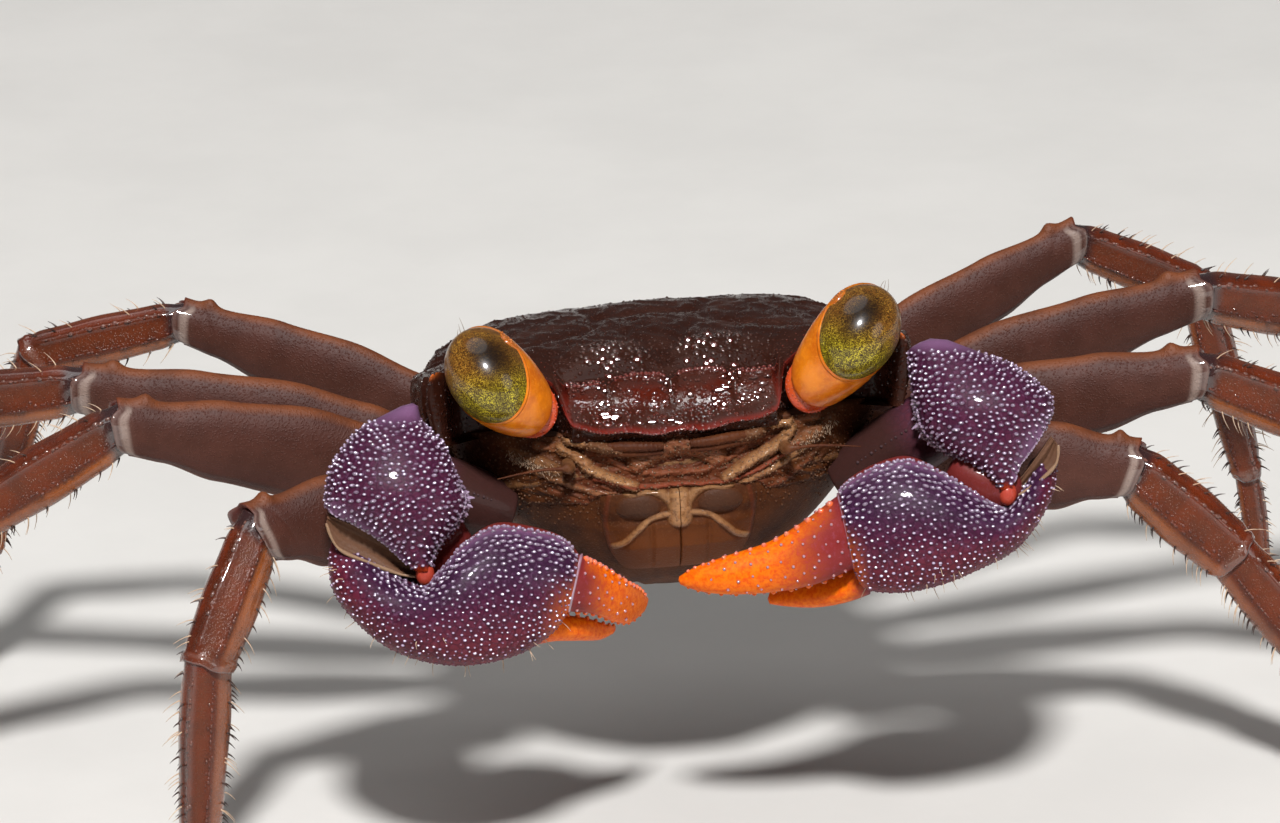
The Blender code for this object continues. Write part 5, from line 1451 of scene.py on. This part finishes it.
class CRAB_OT_claws(bpy.types.Operator):
    """Build both claws with their granules, joints and hairs"""

    bl_idname = "crab.claws"
    bl_label = "Claws"

    def execute(self, context):
        sizes = context.scene.crab_sizes
        shell = claw_paint(context.scene.crab_claws)
        skin, hair = belly_paint(context.scene.crab_body), bristle_paint()
        for name, side in SIDES:
            rng = np.random.default_rng(sizes.seed + 10 + side)
            self.carpus(name, sizes, rng, shell)
            self.palm(name, sizes, rng, shell, hair)
            self.finger(name, rng, shell)
            self.arm(name, side, shell, rng)
            self.skin(name, skin, shell)
        return {"FINISHED"}

    def carpus(self, name, sizes, rng, shell):
        """Wrist with its pale smooth edges, granules over the rest, and the knob at its root."""
        grid, s, a = slices(CARPUS[name], CARPUS_GRID, 2.25)
        surface = Surface(grid)
        wrap = np.minimum(a, TURN - a)
        border = bell(a, 2.75, 0.34) * ease(s, 0.46, 0.6)
        inner = bell(wrap, 0.0, 0.2) * ease(s, 0.45, 0.6)
        grid = grid + surface.normals * (0.07 * inner + 0.09 * border)[..., None]
        knob = 1 - ease(s, 0.03, 0.15) + 0 * a
        smooth = capped(border + knob)
        edge = capped(0.75 * border + 0.35 * inner + 0.5 * knob)
        shape = Shape()
        shape.sheet(grid, caps=(0.15, 0.1), low=0.12 + 0.25 * s + 0 * a, edge=edge,
                    red=ease(s, 0.9, 0.97) + 0 * a, smooth=smooth)
        surface = Surface(grid)

        def wanted(row, col):
            front = ease(np.sin(col * TURN), -0.75, -0.1) * 0.75 + 0.25
            rough = 1 - 0.95 * ease(smooth[surface.cell(row, col)], 0.35, 0.6)
            return front * window(row, 0.07, 0.16, 0.93, 0.97) * rough

        where, normal, along, row, col = surface.spread(sizes.granule_gap, rng, wanted)
        over = unit(np.cross(normal, along))
        size = sizes.granule * rng.uniform(0.7, 1.2, len(row))
        close = bell(np.minimum(col, 1 - col), 0.0, 0.1) * ease(row, 0.3, 0.5)
        long = size * rng.uniform(1.0, 1.6, len(row))
        shape.dots(where, unit(normal + 0.5 * WET_AIM), over, size * 0.85, size * (0.6 + 0.9 * close),
                   long, pearl=0.2 + 0.3 * rng.random(len(row)), low=0.15, edge=0.1)
        glisten(shape, where, normal, size, rng)
        self.edge_beads(shape, surface, rng)
        self.teeth(shape, surface)
        shape.make(f"claw_{name}_wrist", shell, (f"claw_{name}_carpus",))

    def edge_beads(self, shape, surface, rng):
        """Rows of beads along the pale edges of the wrist."""
        rows, cols = CARPUS_GRID
        for col, first, last in WRIST_BEADS:
            column = round(col * cols)
            i = (np.linspace(first, last, 26) * (rows - 1)).astype(int)
            size = 0.06 * rng.uniform(0.8, 1.25, len(i))
            shape.dots_on(surface, i, column, size, size, size * 1.3, pearl=0.8, low=0.2, edge=0.4)

    def teeth(self, shape, surface):
        """Pale pointed teeth at the inner angle of the wrist."""
        for share, length in WRIST_TEETH:
            i = int(share * (CARPUS_GRID[0] - 1))
            foot, out = surface.points[i, 2], surface.normals[i, 0]
            path = foot + out * np.linspace(-0.15, 1, 7)[:, None] * length
            path = path - UP * (even(7) ** 2 * 0.06)[:, None]
            shape.tube(path, np.linspace(0.11, 0.02, 7), 9, pearl=0.5, edge=0.5)

    def palm(self, name, sizes, rng, shell, hair):
        """Hand: beaded crest along its upper edge, smooth behind that, granules over the outer face."""
        rows, cols = PALM_GRID
        grid, s, a = slices(PALM[name], PALM_GRID, 2.2)
        crest = bell(a, CREST_TURN, 0.12) * window(s, 0.25, 0.4, 0.9, 0.97)
        grid = grid + Surface(grid).normals * (0.1 * crest)[..., None]
        surface = Surface(grid)
        height = np.cos(a)
        low = fade(height, -1.0, 0.35)
        behind = ease(np.sin(a) - 0.45, 0.1, -0.1) * ease(height, 0.1, 0.5) * ease(s, 0.12, 0.25)
        tip = ease(s, 0.8, 0.98) * low * 0.75 + ease(s, 0.95, 1.0) * 0.2
        shape = Shape()
        shape.sheet(grid, caps=(0.2, 0.05), low=capped(low + 0.6 * behind), edge=0.35 * crest,
                    red=0.3 * behind, brown=0.35 * behind, tip=tip, smooth=behind)
        self.heel(name, shape)

        def wanted(row, col):
            turn = col * TURN
            front = ease(np.sin(turn), -0.8, -0.2) * 0.7 + 0.3
            rough = (1 - behind[surface.cell(row, col)]) * (0.4 + 0.6 * ease(np.cos(turn), -1.0, -0.7))
            return front * window(row, 0.02, 0.08, 0.96, 0.99) * rough

        where, normal, along, row, col = surface.spread(sizes.granule_gap, rng, wanted)
        high = np.cos(col * TURN)
        size = sizes.granule * rng.uniform(0.75, 1.15, len(row))
        size = size * (0.6 + 0.4 * ease(high, -0.7, 0.4))
        shape.dots(where, unit(normal + 0.5 * WET_AIM), along, size * 0.85, size * 0.7,
                   size * (1 + 0.8 * ease(high, 0.0, 0.8)), pearl=0.16 + 0.26 * ease(high, -0.5, 0.6),
                   low=fade(high, -1.0, 0.35), edge=0.1)
        glisten(shape, where, normal, size, rng)
        column = int(CREST_TURN / TURN * cols)
        i = (np.linspace(0.27, 0.93, 44) * (rows - 1)).astype(int)
        size = 0.075 * rng.uniform(0.8, 1.25, len(i))
        shape.dots_on(surface, i, column, size, size * 1.2, size * 1.2, pearl=0.7, low=0.2, edge=0.2)
        self.thumb(name, shape)
        shape.make(f"claw_{name}_hand", shell, (f"claw_{name}_palm",))
        self.hairs(name, surface, rng, hair)

    def heel(self, name, shape):
        """Smooth inner side of the hand, swelling behind the crest towards the wrist."""
        t = even(60)
        path = spline(HEEL[name], t)
        place = in_plane(path[:, 0], path[:, 1], path[:, 2] * 0.35)
        radius = np.sqrt(capped(np.sin(np.pi * (0.06 + 0.88 * t))))
        shape.tube(place, radius, 40, up=INWARD, low=0.75, red=0.2, brown=0.45, smooth=1.0)

    def thumb(self, name, shape):
        """Fixed finger, sunk into the hand."""
        grid, s, a = slices(THUMB[name], THUMB_GRID, 2.1)
        grid = grid + UP * (0.34 * capped(np.cos(a)) * (1 - 0.6 * s))[..., None]
        shape.sheet(grid, caps=(0.2, 0.08), tip=ease(s, 0.0, 0.3) + 0 * a, low=1.0, smooth=1.0)
        i = numbers(8, 64, 9)
        foot = grid[i, 2]
        size = 0.11 * np.linspace(1.0, 0.55, 9)
        normal = unit(grid[i, 0] - grid[i, 30])
        shape.dots(foot, normal, unit(np.gradient(foot, axis=0)), size, size * 1.3, size * 1.2,
                   tip=1.0, pearl=0.12)

    def finger(self, name, rng, shell):
        """Movable finger with its rounded root, its teeth and a row of bumps along its back."""
        grid, s, a = slices(FINGER[name], FINGER_GRID, 2.1)
        root = nested(grid[0], unit(grid[0].mean(0) - grid[4].mean(0)), FINGER_ROOT)
        grid, s = np.concatenate([root, grid]), np.append(np.zeros(len(root)), s)[:, None]
        surface = Surface(grid)
        high = np.cos(a)
        tip = capped(ease(s, 0.08, 0.5) + 0.45 * ease(high, 0.2, 0.9) * ease(s, 0.0, 0.12))
        collar = np.zeros(grid.shape[:2])
        collar[2:4] = 0.45
        shape = Shape()
        shape.sheet(grid, caps=(0.15, 0.06), tip=tip, low=0.7, pearl=collar, red=0.3, smooth=1.0)
        i = numbers(10, 100, 14)
        size = 0.13 * np.linspace(1.0, 0.6, 14)
        for column, scale in ((5, 1.0), (76, 0.7)):
            wide = size * scale
            shape.dots_on(surface, i, column, wide, wide, sides=12, rings=4, tip=1.0, pearl=0.3)

        def wanted(row, col):
            return (np.sin(col * TURN) > -0.2) * fade(row, 0.45, 0.8) * ease(row, 0.06, 0.1) * 0.7

        shape.strew(surface, rng, 0.4, wanted, (0.048, 0.072), 1, sides=8, tip=0.35, low=0.8, pearl=0.6)
        i = numbers(14, 104, 11)
        size = 0.1 * np.linspace(1.0, 0.5, 11)
        shape.dots_on(surface, i, 40, size, size, size * 1.2, tip=1.0, pearl=0.1)
        shape.make(f"claw_{name}_finger_shell", shell, (f"claw_{name}_finger",))

    def arm(self, name, side, shell, rng):
        """Arm between the body and the wrist."""
        root = mirrored(side, CLAW_ROOT)
        elbow = in_plane(*ELBOW[name])
        t = even(60)
        path = root + (elbow - root) * t[:, None]
        width = 1.05 + 0.25 * np.sin(np.pi * t) ** 0.7 + 0.1 * t
        shape = Shape()
        shape.tube(path, width, 48, low=0.6, edge=0.1, brown=0.95 * fade(t, 0.45, 0.95)[:, None])
        along = unit(elbow - root)
        over = unit(np.cross(along, (0, 0, 1.0)))
        rise = np.cross(over, along)
        for turn in (0.5, 2.6):
            out = over * math.cos(turn) * (1 if side < 0 else -1) + rise * math.sin(turn)
            i = numbers(14, 56, 18)
            where = path[i] + out * width[i][:, None]
            size = 0.065 * rng.uniform(0.6, 1.2, len(i))
            shape.dots_aimed(where, out, along, size, size * 0.8, pearl=0.06, brown=1.0)
        shape.make(f"claw_{name}_arm", shell, (f"claw_{name}_merus",))

    def skin(self, name, paint, shell):
        """Folded skin in the wrist joint, with its pale rim."""
        upper, lower, depth = WRIST_GAP[name]
        t = even(50)
        top, low = spline(upper, t), spline(lower, t)
        k = even(24)
        x, y = np.moveaxis(top[:, None] * (1 - k)[:, None] + low[:, None] * k[:, None], -1, 0)
        hollow = 0.3 * np.sin(np.pi * k) * np.sin(np.pi * np.clip(t, 0.02, 0.98))[:, None] ** 0.6
        near = depth - 0.45 + hollow + 0.045 * np.sin(k * 14 + 1.3 * np.sin(5 * t[:, None]))
        grid = np.concatenate([in_plane(x, y, near), in_plane(x, y, near + 0.9)[:, ::-1]], 1)
        shape = Shape()
        shape.sheet(grid, caps=(0.0, 0.0), tan=0.08, grey=0.5, red=0.3, pearl=0.2)
        lip = 0.04 + 0.03 * np.sin(np.pi * t) + 0.012 * np.sin(t * 23)
        shape.tube(in_plane(low[:, 0], low[:, 1], depth - 0.5), lip, 10, tan=0.5, pearl=0.7)
        shape.make(f"claw_{name}_wrist_skin", paint)
        knuckle = Shape()
        knob = in_plane(low[-1, 0] - 0.05, low[-1, 1] + 0.1, depth - 0.7)
        knuckle.dots(np.array([knob]), -INWARD[None], UP[None], 0.34, 0.34, 0.44, sides=20, rings=9, red=0.9,
                     pearl=0.05, smooth=1.0)
        knuckle.make(f"claw_{name}_knuckle", shell)

    def hairs(self, name, surface, rng, hair):
        """Sparse pale hairs along the lower edge and at the finger joint."""
        shape = Shape()
        rows, cols = surface.points.shape[:2]
        for _ in range(26):
            i = int(rng.uniform(0.1, 0.95) * (rows - 1))
            j = int(rng.normal(0.46, 0.06) * cols) % cols
            bend = unit(surface.along[i, j] * rng.uniform(-0.5, 0.8) - UP * 0.4)
            t = np.linspace(-0.1, 1, 8)[:, None]
            out = surface.normals[i, j] * t * rng.uniform(0.22, 0.42)
            path = surface.points[i, j] + out + bend * t ** 2 * 0.12
            shape.tube(path, np.linspace(0.02, 0.006, 8), 5, pale=0.9)
        shape.make(f"claw_{name}_hairs", hair)


# Wet bumps along a leg segment: angle round it, distance between them, radius and strength
GLINTS = ((0.38, 0.16, 0.06, 1.0), (1.13, 0.14, 0.07, 1.0), (2.1, 0.12, 0.04, 0.5),
          (-1.13, 0.2, 0.055, 1.0), (-2.1, 0.14, 0.04, 0.5), (0.75, 0.2, 0.06, 0.8))
# Rows of bristles: share round a segment
BRISTLE_ROWS = (0.0, 0.07, 0.93, 0.5, 0.44, 0.56)
# Rings of a segment's root, and of the collar at its end: size and how far back or inwards
UPPER_ROOT = ((1.0, 0.5),)
LOWER_ROOT = ((0.35, 0.62), (0.62, 0.52), (0.8, 0.36), (0.92, 0.18))
COLLAR = ((0.93, 0.02), (0.84, 0.1), (0.74, 0.3))


def heading(side, turn, rise):
    """Direction of a limb segment."""
    turn, rise = math.radians(turn), math.radians(rise)
    return np.array([side * math.cos(rise) * math.cos(turn), math.cos(rise) * math.sin(turn), math.sin(rise)])


def leg_root(step):
    """Side of a walking leg, and where it leaves the body."""
    leg, side_name = step.split("_")
    side = dict(SIDES)[side_name]
    return side, mirrored(side, LEGS[leg][0] + np.array([STEPS[step][2], 0, 0]))


def leg_joints(step):
    """Side of a walking leg, then its root, knee, ankle, wrist and toe."""
    lengths = LEGS[step.split("_")[0]][1]
    turns, rises, _ = STEPS[step]
    side, root = leg_root(step)
    joints = [root]
    for length, turn, rise in zip(lengths, turns, rises):
        joints.append(joints[-1] + heading(side, turn, rise) * length)
    out = math.sqrt(lengths[3] ** 2 - joints[-1][2] ** 2)
    toe = joints[-1] + heading(side, turns[3], 0.0) * out
    toe[2] = 0.0
    return side, joints + [toe]


class CRAB_OT_legs(bpy.types.Operator):
    """Build the eight walking legs with their ridges, joints and bristles"""

    bl_idname = "crab.legs"
    bl_label = "Walking legs"

    def execute(self, context):
        sizes = context.scene.crab_sizes
        shell, hair = leg_paint(context.scene.crab_legs), bristle_paint()
        for n, step in enumerate(sorted(STEPS)):
            self.leg(step, np.random.default_rng(sizes.seed + 30 + n), shell, hair, sizes)
        return {"FINISHED"}

    def leg(self, step, rng, shell, hair, sizes):
        """Four segments, cut where they meet, and the bristles along the lower three."""
        side, joints = leg_joints(step)
        turn = math.radians(STEPS[step][0][1])
        across = np.array([-side * math.sin(turn), math.cos(turn), 0.0])
        ways = [unit(b - a) for a, b in zip(joints, joints[1:])]
        cuts = [None, *(unit(a + b) for a, b in zip(ways, ways[1:])), None]
        bristles = Shape()
        for n, kind in enumerate(SEGMENTS):
            shape = Shape()
            grid = self.segment(kind, *joints[n:n + 2], across, LEGS[step[:4]][2], *cuts[n:n + 2],
                                shape, rng)
            shape.make(f"{step}_{kind}_shell", shell, (f"{step}_{kind}",))
            if kind != "merus":
                self.bristle_rows(bristles, kind, grid, rng, sizes.bristle)
        bristles.make(f"{step}_bristles", hair)

    def segment(self, kind, start, end, across, factor, first, last, shape, rng):
        """One segment: ridged shell, rounded root and a collar round the next joint."""
        rings, sides = SEGMENTS[kind][:2]
        upper, toe = kind == "merus", kind == "dactyl"
        along = unit(end - start)
        across = unit(across - along * (across @ along))
        height = np.cross(along, across)
        height = height * np.sign(height[2])
        length = np.linalg.norm(end - start)
        share, angle = even(rings), circle(sides)
        tall, thick = (profile(PROFILES[kind], share) * factor).T[..., None]
        c, s = superellipse(angle, 2.3)
        front = -np.pi / 2 if upper else math.atan2(-across @ INWARD, -height @ INWARD)
        t, a = share[:, None], (angle[None] - front - 0.25 * TURN) % TURN
        ridge = self.ridges(kind, t, a)
        lobe = ease(np.abs(s), 0.55, 0.95) * ease(t, 0.93, 0.99) * (not toe)
        grid = (start + along * (length * t)[..., None] + height * ((tall + ridge) * c)[..., None]
                + across * ((thick + ridge) * s + 0.09 * lobe * np.sign(s))[..., None])
        for row, on, normal, away in ((0, start, first, share), (-1, end, last, 1 - share)):
            if normal is not None:
                slide = ((on - grid[row]) @ normal) / (along @ normal)
                grid = grid + along * (slide * np.maximum(0.0, 1 - away / CUT_FADE)[:, None])[..., None]
        grid = grid + along * ((0.4 if upper else 0.16) * lobe)[..., None]
        if toe:
            grid[..., 2] = np.maximum(grid[..., 2], 0.0)
        else:
            grid = np.concatenate([grid, nested(grid[-1], -along, COLLAR)])
        grid = np.concatenate([nested(grid[0], -along, UPPER_ROOT if upper else LOWER_ROOT), grid])
        self.tones(kind, shape, grid, a, capped(((grid - start) @ along) / length))
        if not upper:
            self.glints(shape, kind, grid, rng, front + np.pi / 2)
        return np.roll(grid, -int(sides * (front / TURN + 0.25)), 1)

    def tones(self, kind, shape, grid, a, place):
        """Adds a segment's shell, with the marks that its paint reads."""
        upper, toe = kind == "merus", kind == "dactyl"
        row = np.arange(len(grid))[:, None]
        left = row[::-1]
        end_band, start_band = fade(left, 1, 5) * (not toe), fade(row, 3, 9) * (not upper)
        c, s = np.cos(a) + 0.0 * row, np.abs(np.sin(a)) + 0.0 * row
        if upper:
            edge = 0.15 * ease(-c, 0.8, 1.0) + 0.27 * ease(c, 0.88, 1.0)
        elif kind == "propodus":
            edge = 0.45 * ease(-c, 0.55, 0.85) + 0.2 * ease(c, 0.7, 1.0)
        else:
            edge = (0.9 - 0.5 * place) * ease(-c, 0.5, 0.75) + 0.15 * ease(c, 0.9, 1.0)
        if toe:
            edge = 0.4 * edge + 0.5 * place ** 2
        rim = fade(left, 5, 8) * ease(s, 0.5, 0.8) * (not toe)
        ring = bell(left, 6.5, 0.8) + 0.5 * bell(left, 3.5, 0.5)
        knee = 0.9 * fade(row, 9, 16) * (kind == "carpus")
        lines = 0.5 * ease(-c, 0.6, 0.8) + bell(c, 0.93, 0.1) + 0.8 * bell(c, 0.42, 0.12)
        shape.sheet(grid, caps=(0.0, 0.0), upper=float(upper), edge=edge, knee=knee,
                    face=bell(c, -0.05, 0.45) * (0.35 if upper else 1.0) * (1 - start_band),
                    joint=capped(0.9 * end_band + 0.5 * start_band),
                    cream=capped((0.75 if upper else 0.1) * ring * ease(s, 0.2, 0.7)),
                    pearl=capped(knee + 0.9 * rim + (not upper) * lines))

    def glints(self, shape, kind, grid, rng, turn):
        """Small wet bumps on the ridges, closest together near the knee, and a fine row below."""
        surface = Surface(grid)
        rows, cols = grid.shape[:2]
        for angle, gap, size, strong in GLINTS:
            count = int(SEGMENTS[kind][3] / gap)
            share = 0.1 + 0.85 * (np.arange(count) + rng.uniform(0.0, 0.8, count)) / count
            keep = rng.random(count) < (1 - 0.6 * ease(share, 0.25, 0.7) if kind == "carpus" else 0.65)
            share = share[keep | (strong < 0.6)]
            i = (share * (rows - 1)).astype(int)
            j = (cols * (turn + angle + rng.normal(0, 0.05, len(i))) / TURN).astype(int) % cols
            wide = size * rng.uniform(0.7, 1.6, len(i))
            lean = surface.normals[i, j]
            lean = unit(lean + WET_AIM * 1.6 * (lean @ WET_AIM > 0)[:, None])
            shape.dots(surface.points[i, j], lean, surface.along[i, j], wide, wide * 0.7, wide * 1.5,
                       pearl=strong, cream=0.12 * strong, joint=0.1)

    def ridges(self, kind, t, a):
        """Raised lines along a segment, in its height and in its thickness."""
        wrap = np.minimum(a, TURN - a)
        top, low = bell(wrap, 0.0, 0.3), bell(a, np.pi, 0.3)
        if kind == "merus":
            tooth = 0.25 * bell(t, 0.93, 0.02)
            groove = -0.05 * bell(t + 0.03 * wrap, 0.955, 0.007) * bell(wrap, 1.2, 0.7)
            return (0.12 + tooth) * top + 0.05 * low + 0.05 * bell(wrap, 2.3, 0.12) + groove
        lines = bell(wrap, 1.13, 0.12) - 0.5 * bell(wrap, 0.75, 0.16) + 0.7 * bell(wrap, 2.1, 0.1)
        strength = window(t, 0.04, 0.14, 0.88, 0.95)
        rim = 0.06 * bell(t, 0.965, 0.014) * (kind != "dactyl")
        return (0.07 * top + SEGMENTS[kind][2] * (lines - 0.5 * bell(wrap, 1.6, 0.3))) * strength + rim

    def bristle_rows(self, shape, kind, grid, rng, size):
        """Dark spinules and pale hairs along the upper and lower edges."""
        rows, cols = grid.shape[:2]
        count = SEGMENTS[kind][4]
        for column in BRISTLE_ROWS:
            for n in range(count):
                share = (n + rng.uniform(0.1, 0.9)) / count * 0.86 + 0.09
                if rng.random() < 0.35:
                    continue
                i, j = int(share * (rows - 1)), int(column * cols) % cols
                foot = grid[i, j]
                out = unit(foot - grid[i].mean(0))
                along = unit(grid[min(rows - 1, i + 3)].mean(0) - grid[max(0, i - 3)].mean(0))
                pale = rng.random() < 0.45
                length = size * (rng.uniform(0.8, 1.3) if pale else rng.uniform(0.4, 0.75))
                length = length * (0.7 if kind == "dactyl" else 1.0)
                t = np.linspace(-0.12, 1, 7)[:, None]
                path = foot + (out * 0.85 * t + along * 0.35 * (t + t ** 2)) * length
                path[:, 2] = np.maximum(path[:, 2], 0.02)
                shape.tube(path, np.linspace(0.03 if pale else 0.048, 0.006, 7), 5, pale=float(pale))


# Lamps in metres and watts: name, place, diameter and power
LAMPS = (("key", (-0.03, -0.27, 0.39), 0.055, 2.95), ("fill", (0.36, -0.3, 0.16), 0.26, 0.3),
         ("top", (-0.1, 0.12, 0.5), 0.42, 0.6))
FLOOR_RADIUS = 1.6
FLOOR_COLOUR = (0.68, 0.66, 0.63)


class CRAB_OT_stage(bpy.types.Operator):
    """Set up the floor, the soft lights and the camera"""

    bl_idname = "crab.stage"
    bl_label = "Stage"

    def execute(self, context):
        scene = context.scene
        bpy.ops.mesh.primitive_circle_add(vertices=96, radius=FLOOR_RADIUS, fill_type="NGON")
        floor = context.object
        floor.name = "floor"
        floor.data.materials.append(floor_paint(FLOOR_COLOUR))
        world = bpy.data.worlds.new("studio")
        world.use_nodes = True
        world.node_tree.nodes["Background"].inputs[0].default_value = (0.9, 0.92, 0.95, 1)
        world.node_tree.nodes["Background"].inputs[1].default_value = 0.09
        scene.world = world
        scene.view_settings.view_transform = "Standard"
        for name, place, size, power in LAMPS:
            light = bpy.data.lights.new(name, "AREA")
            light.shape = "DISK"
            light.size = size
            light.energy = power
            lamp = bpy.data.objects.new(name, light)
            lamp.location = place
            aim = Vector((0.0, 0.0, 0.012)) - Vector(place)
            lamp.rotation_euler = aim.to_track_quat("-Z", "Y").to_euler()
            scene.collection.objects.link(lamp)
        self.camera(scene)
        return {"FINISHED"}

    def camera(self, scene):
        """Camera that looks along the claw plane's inward direction, at the photo's scale."""
        data = bpy.data.cameras.new("camera")
        data.sensor_width = SENSOR
        data.lens = SENSOR * DISTANCE / (IMAGE[0] * PIXEL)
        data.clip_start = 0.01
        data.clip_end = 10.0
        camera = bpy.data.objects.new("camera", data)
        turn = Matrix([tuple(v) for v in (RIGHT, UP, -INWARD)]).transposed()
        camera.matrix_world = Matrix.Translation(Vector(CAMERA_PLACE * MM)) @ turn.to_4x4()
        scene.collection.objects.link(camera)
        scene.camera = camera


PIECES = (CRAB_OT_stage, CRAB_OT_carapace, CRAB_OT_body, CRAB_OT_mouth, CRAB_OT_tail, CRAB_OT_eyes,
          CRAB_OT_feelers, CRAB_OT_claws, CRAB_OT_legs)
GROUPS = {"crab_body": CrabBodyColours, "crab_claws": CrabClawColours, "crab_legs": CrabLegColours,
          "crab_sizes": CrabSizes}


class CRAB_PT_panel(bpy.types.Panel):
    """Buttons and settings of the crab"""

    bl_label = "Vampire Crab"
    bl_space_type = "VIEW_3D"
    bl_region_type = "UI"
    bl_category = "Crab"

    def draw(self, context):
        for piece in PIECES:
            self.layout.operator(piece.bl_idname)
        for name, group in GROUPS.items():
            box = self.layout.box()
            for key in group.__annotations__:
                box.prop(getattr(context.scene, name), key)


def register():
    for group in (*GROUPS.values(), *PIECES, CRAB_PT_panel):
        bpy.utils.register_class(group)
    for name, group in GROUPS.items():
        setattr(bpy.types.Scene, name, PointerProperty(type=group))


def unregister():
    for name in GROUPS:
        delattr(bpy.types.Scene, name)
    for group in (CRAB_PT_panel, *reversed(PIECES), *reversed(tuple(GROUPS.values()))):
        bpy.utils.unregister_class(group)


def main():
    """Builds every piece in order."""
    register()
    for piece in PIECES:
        area, name = piece.bl_idname.split(".")
        getattr(getattr(bpy.ops, area), name)()


if __name__ == "__main__":
    main()
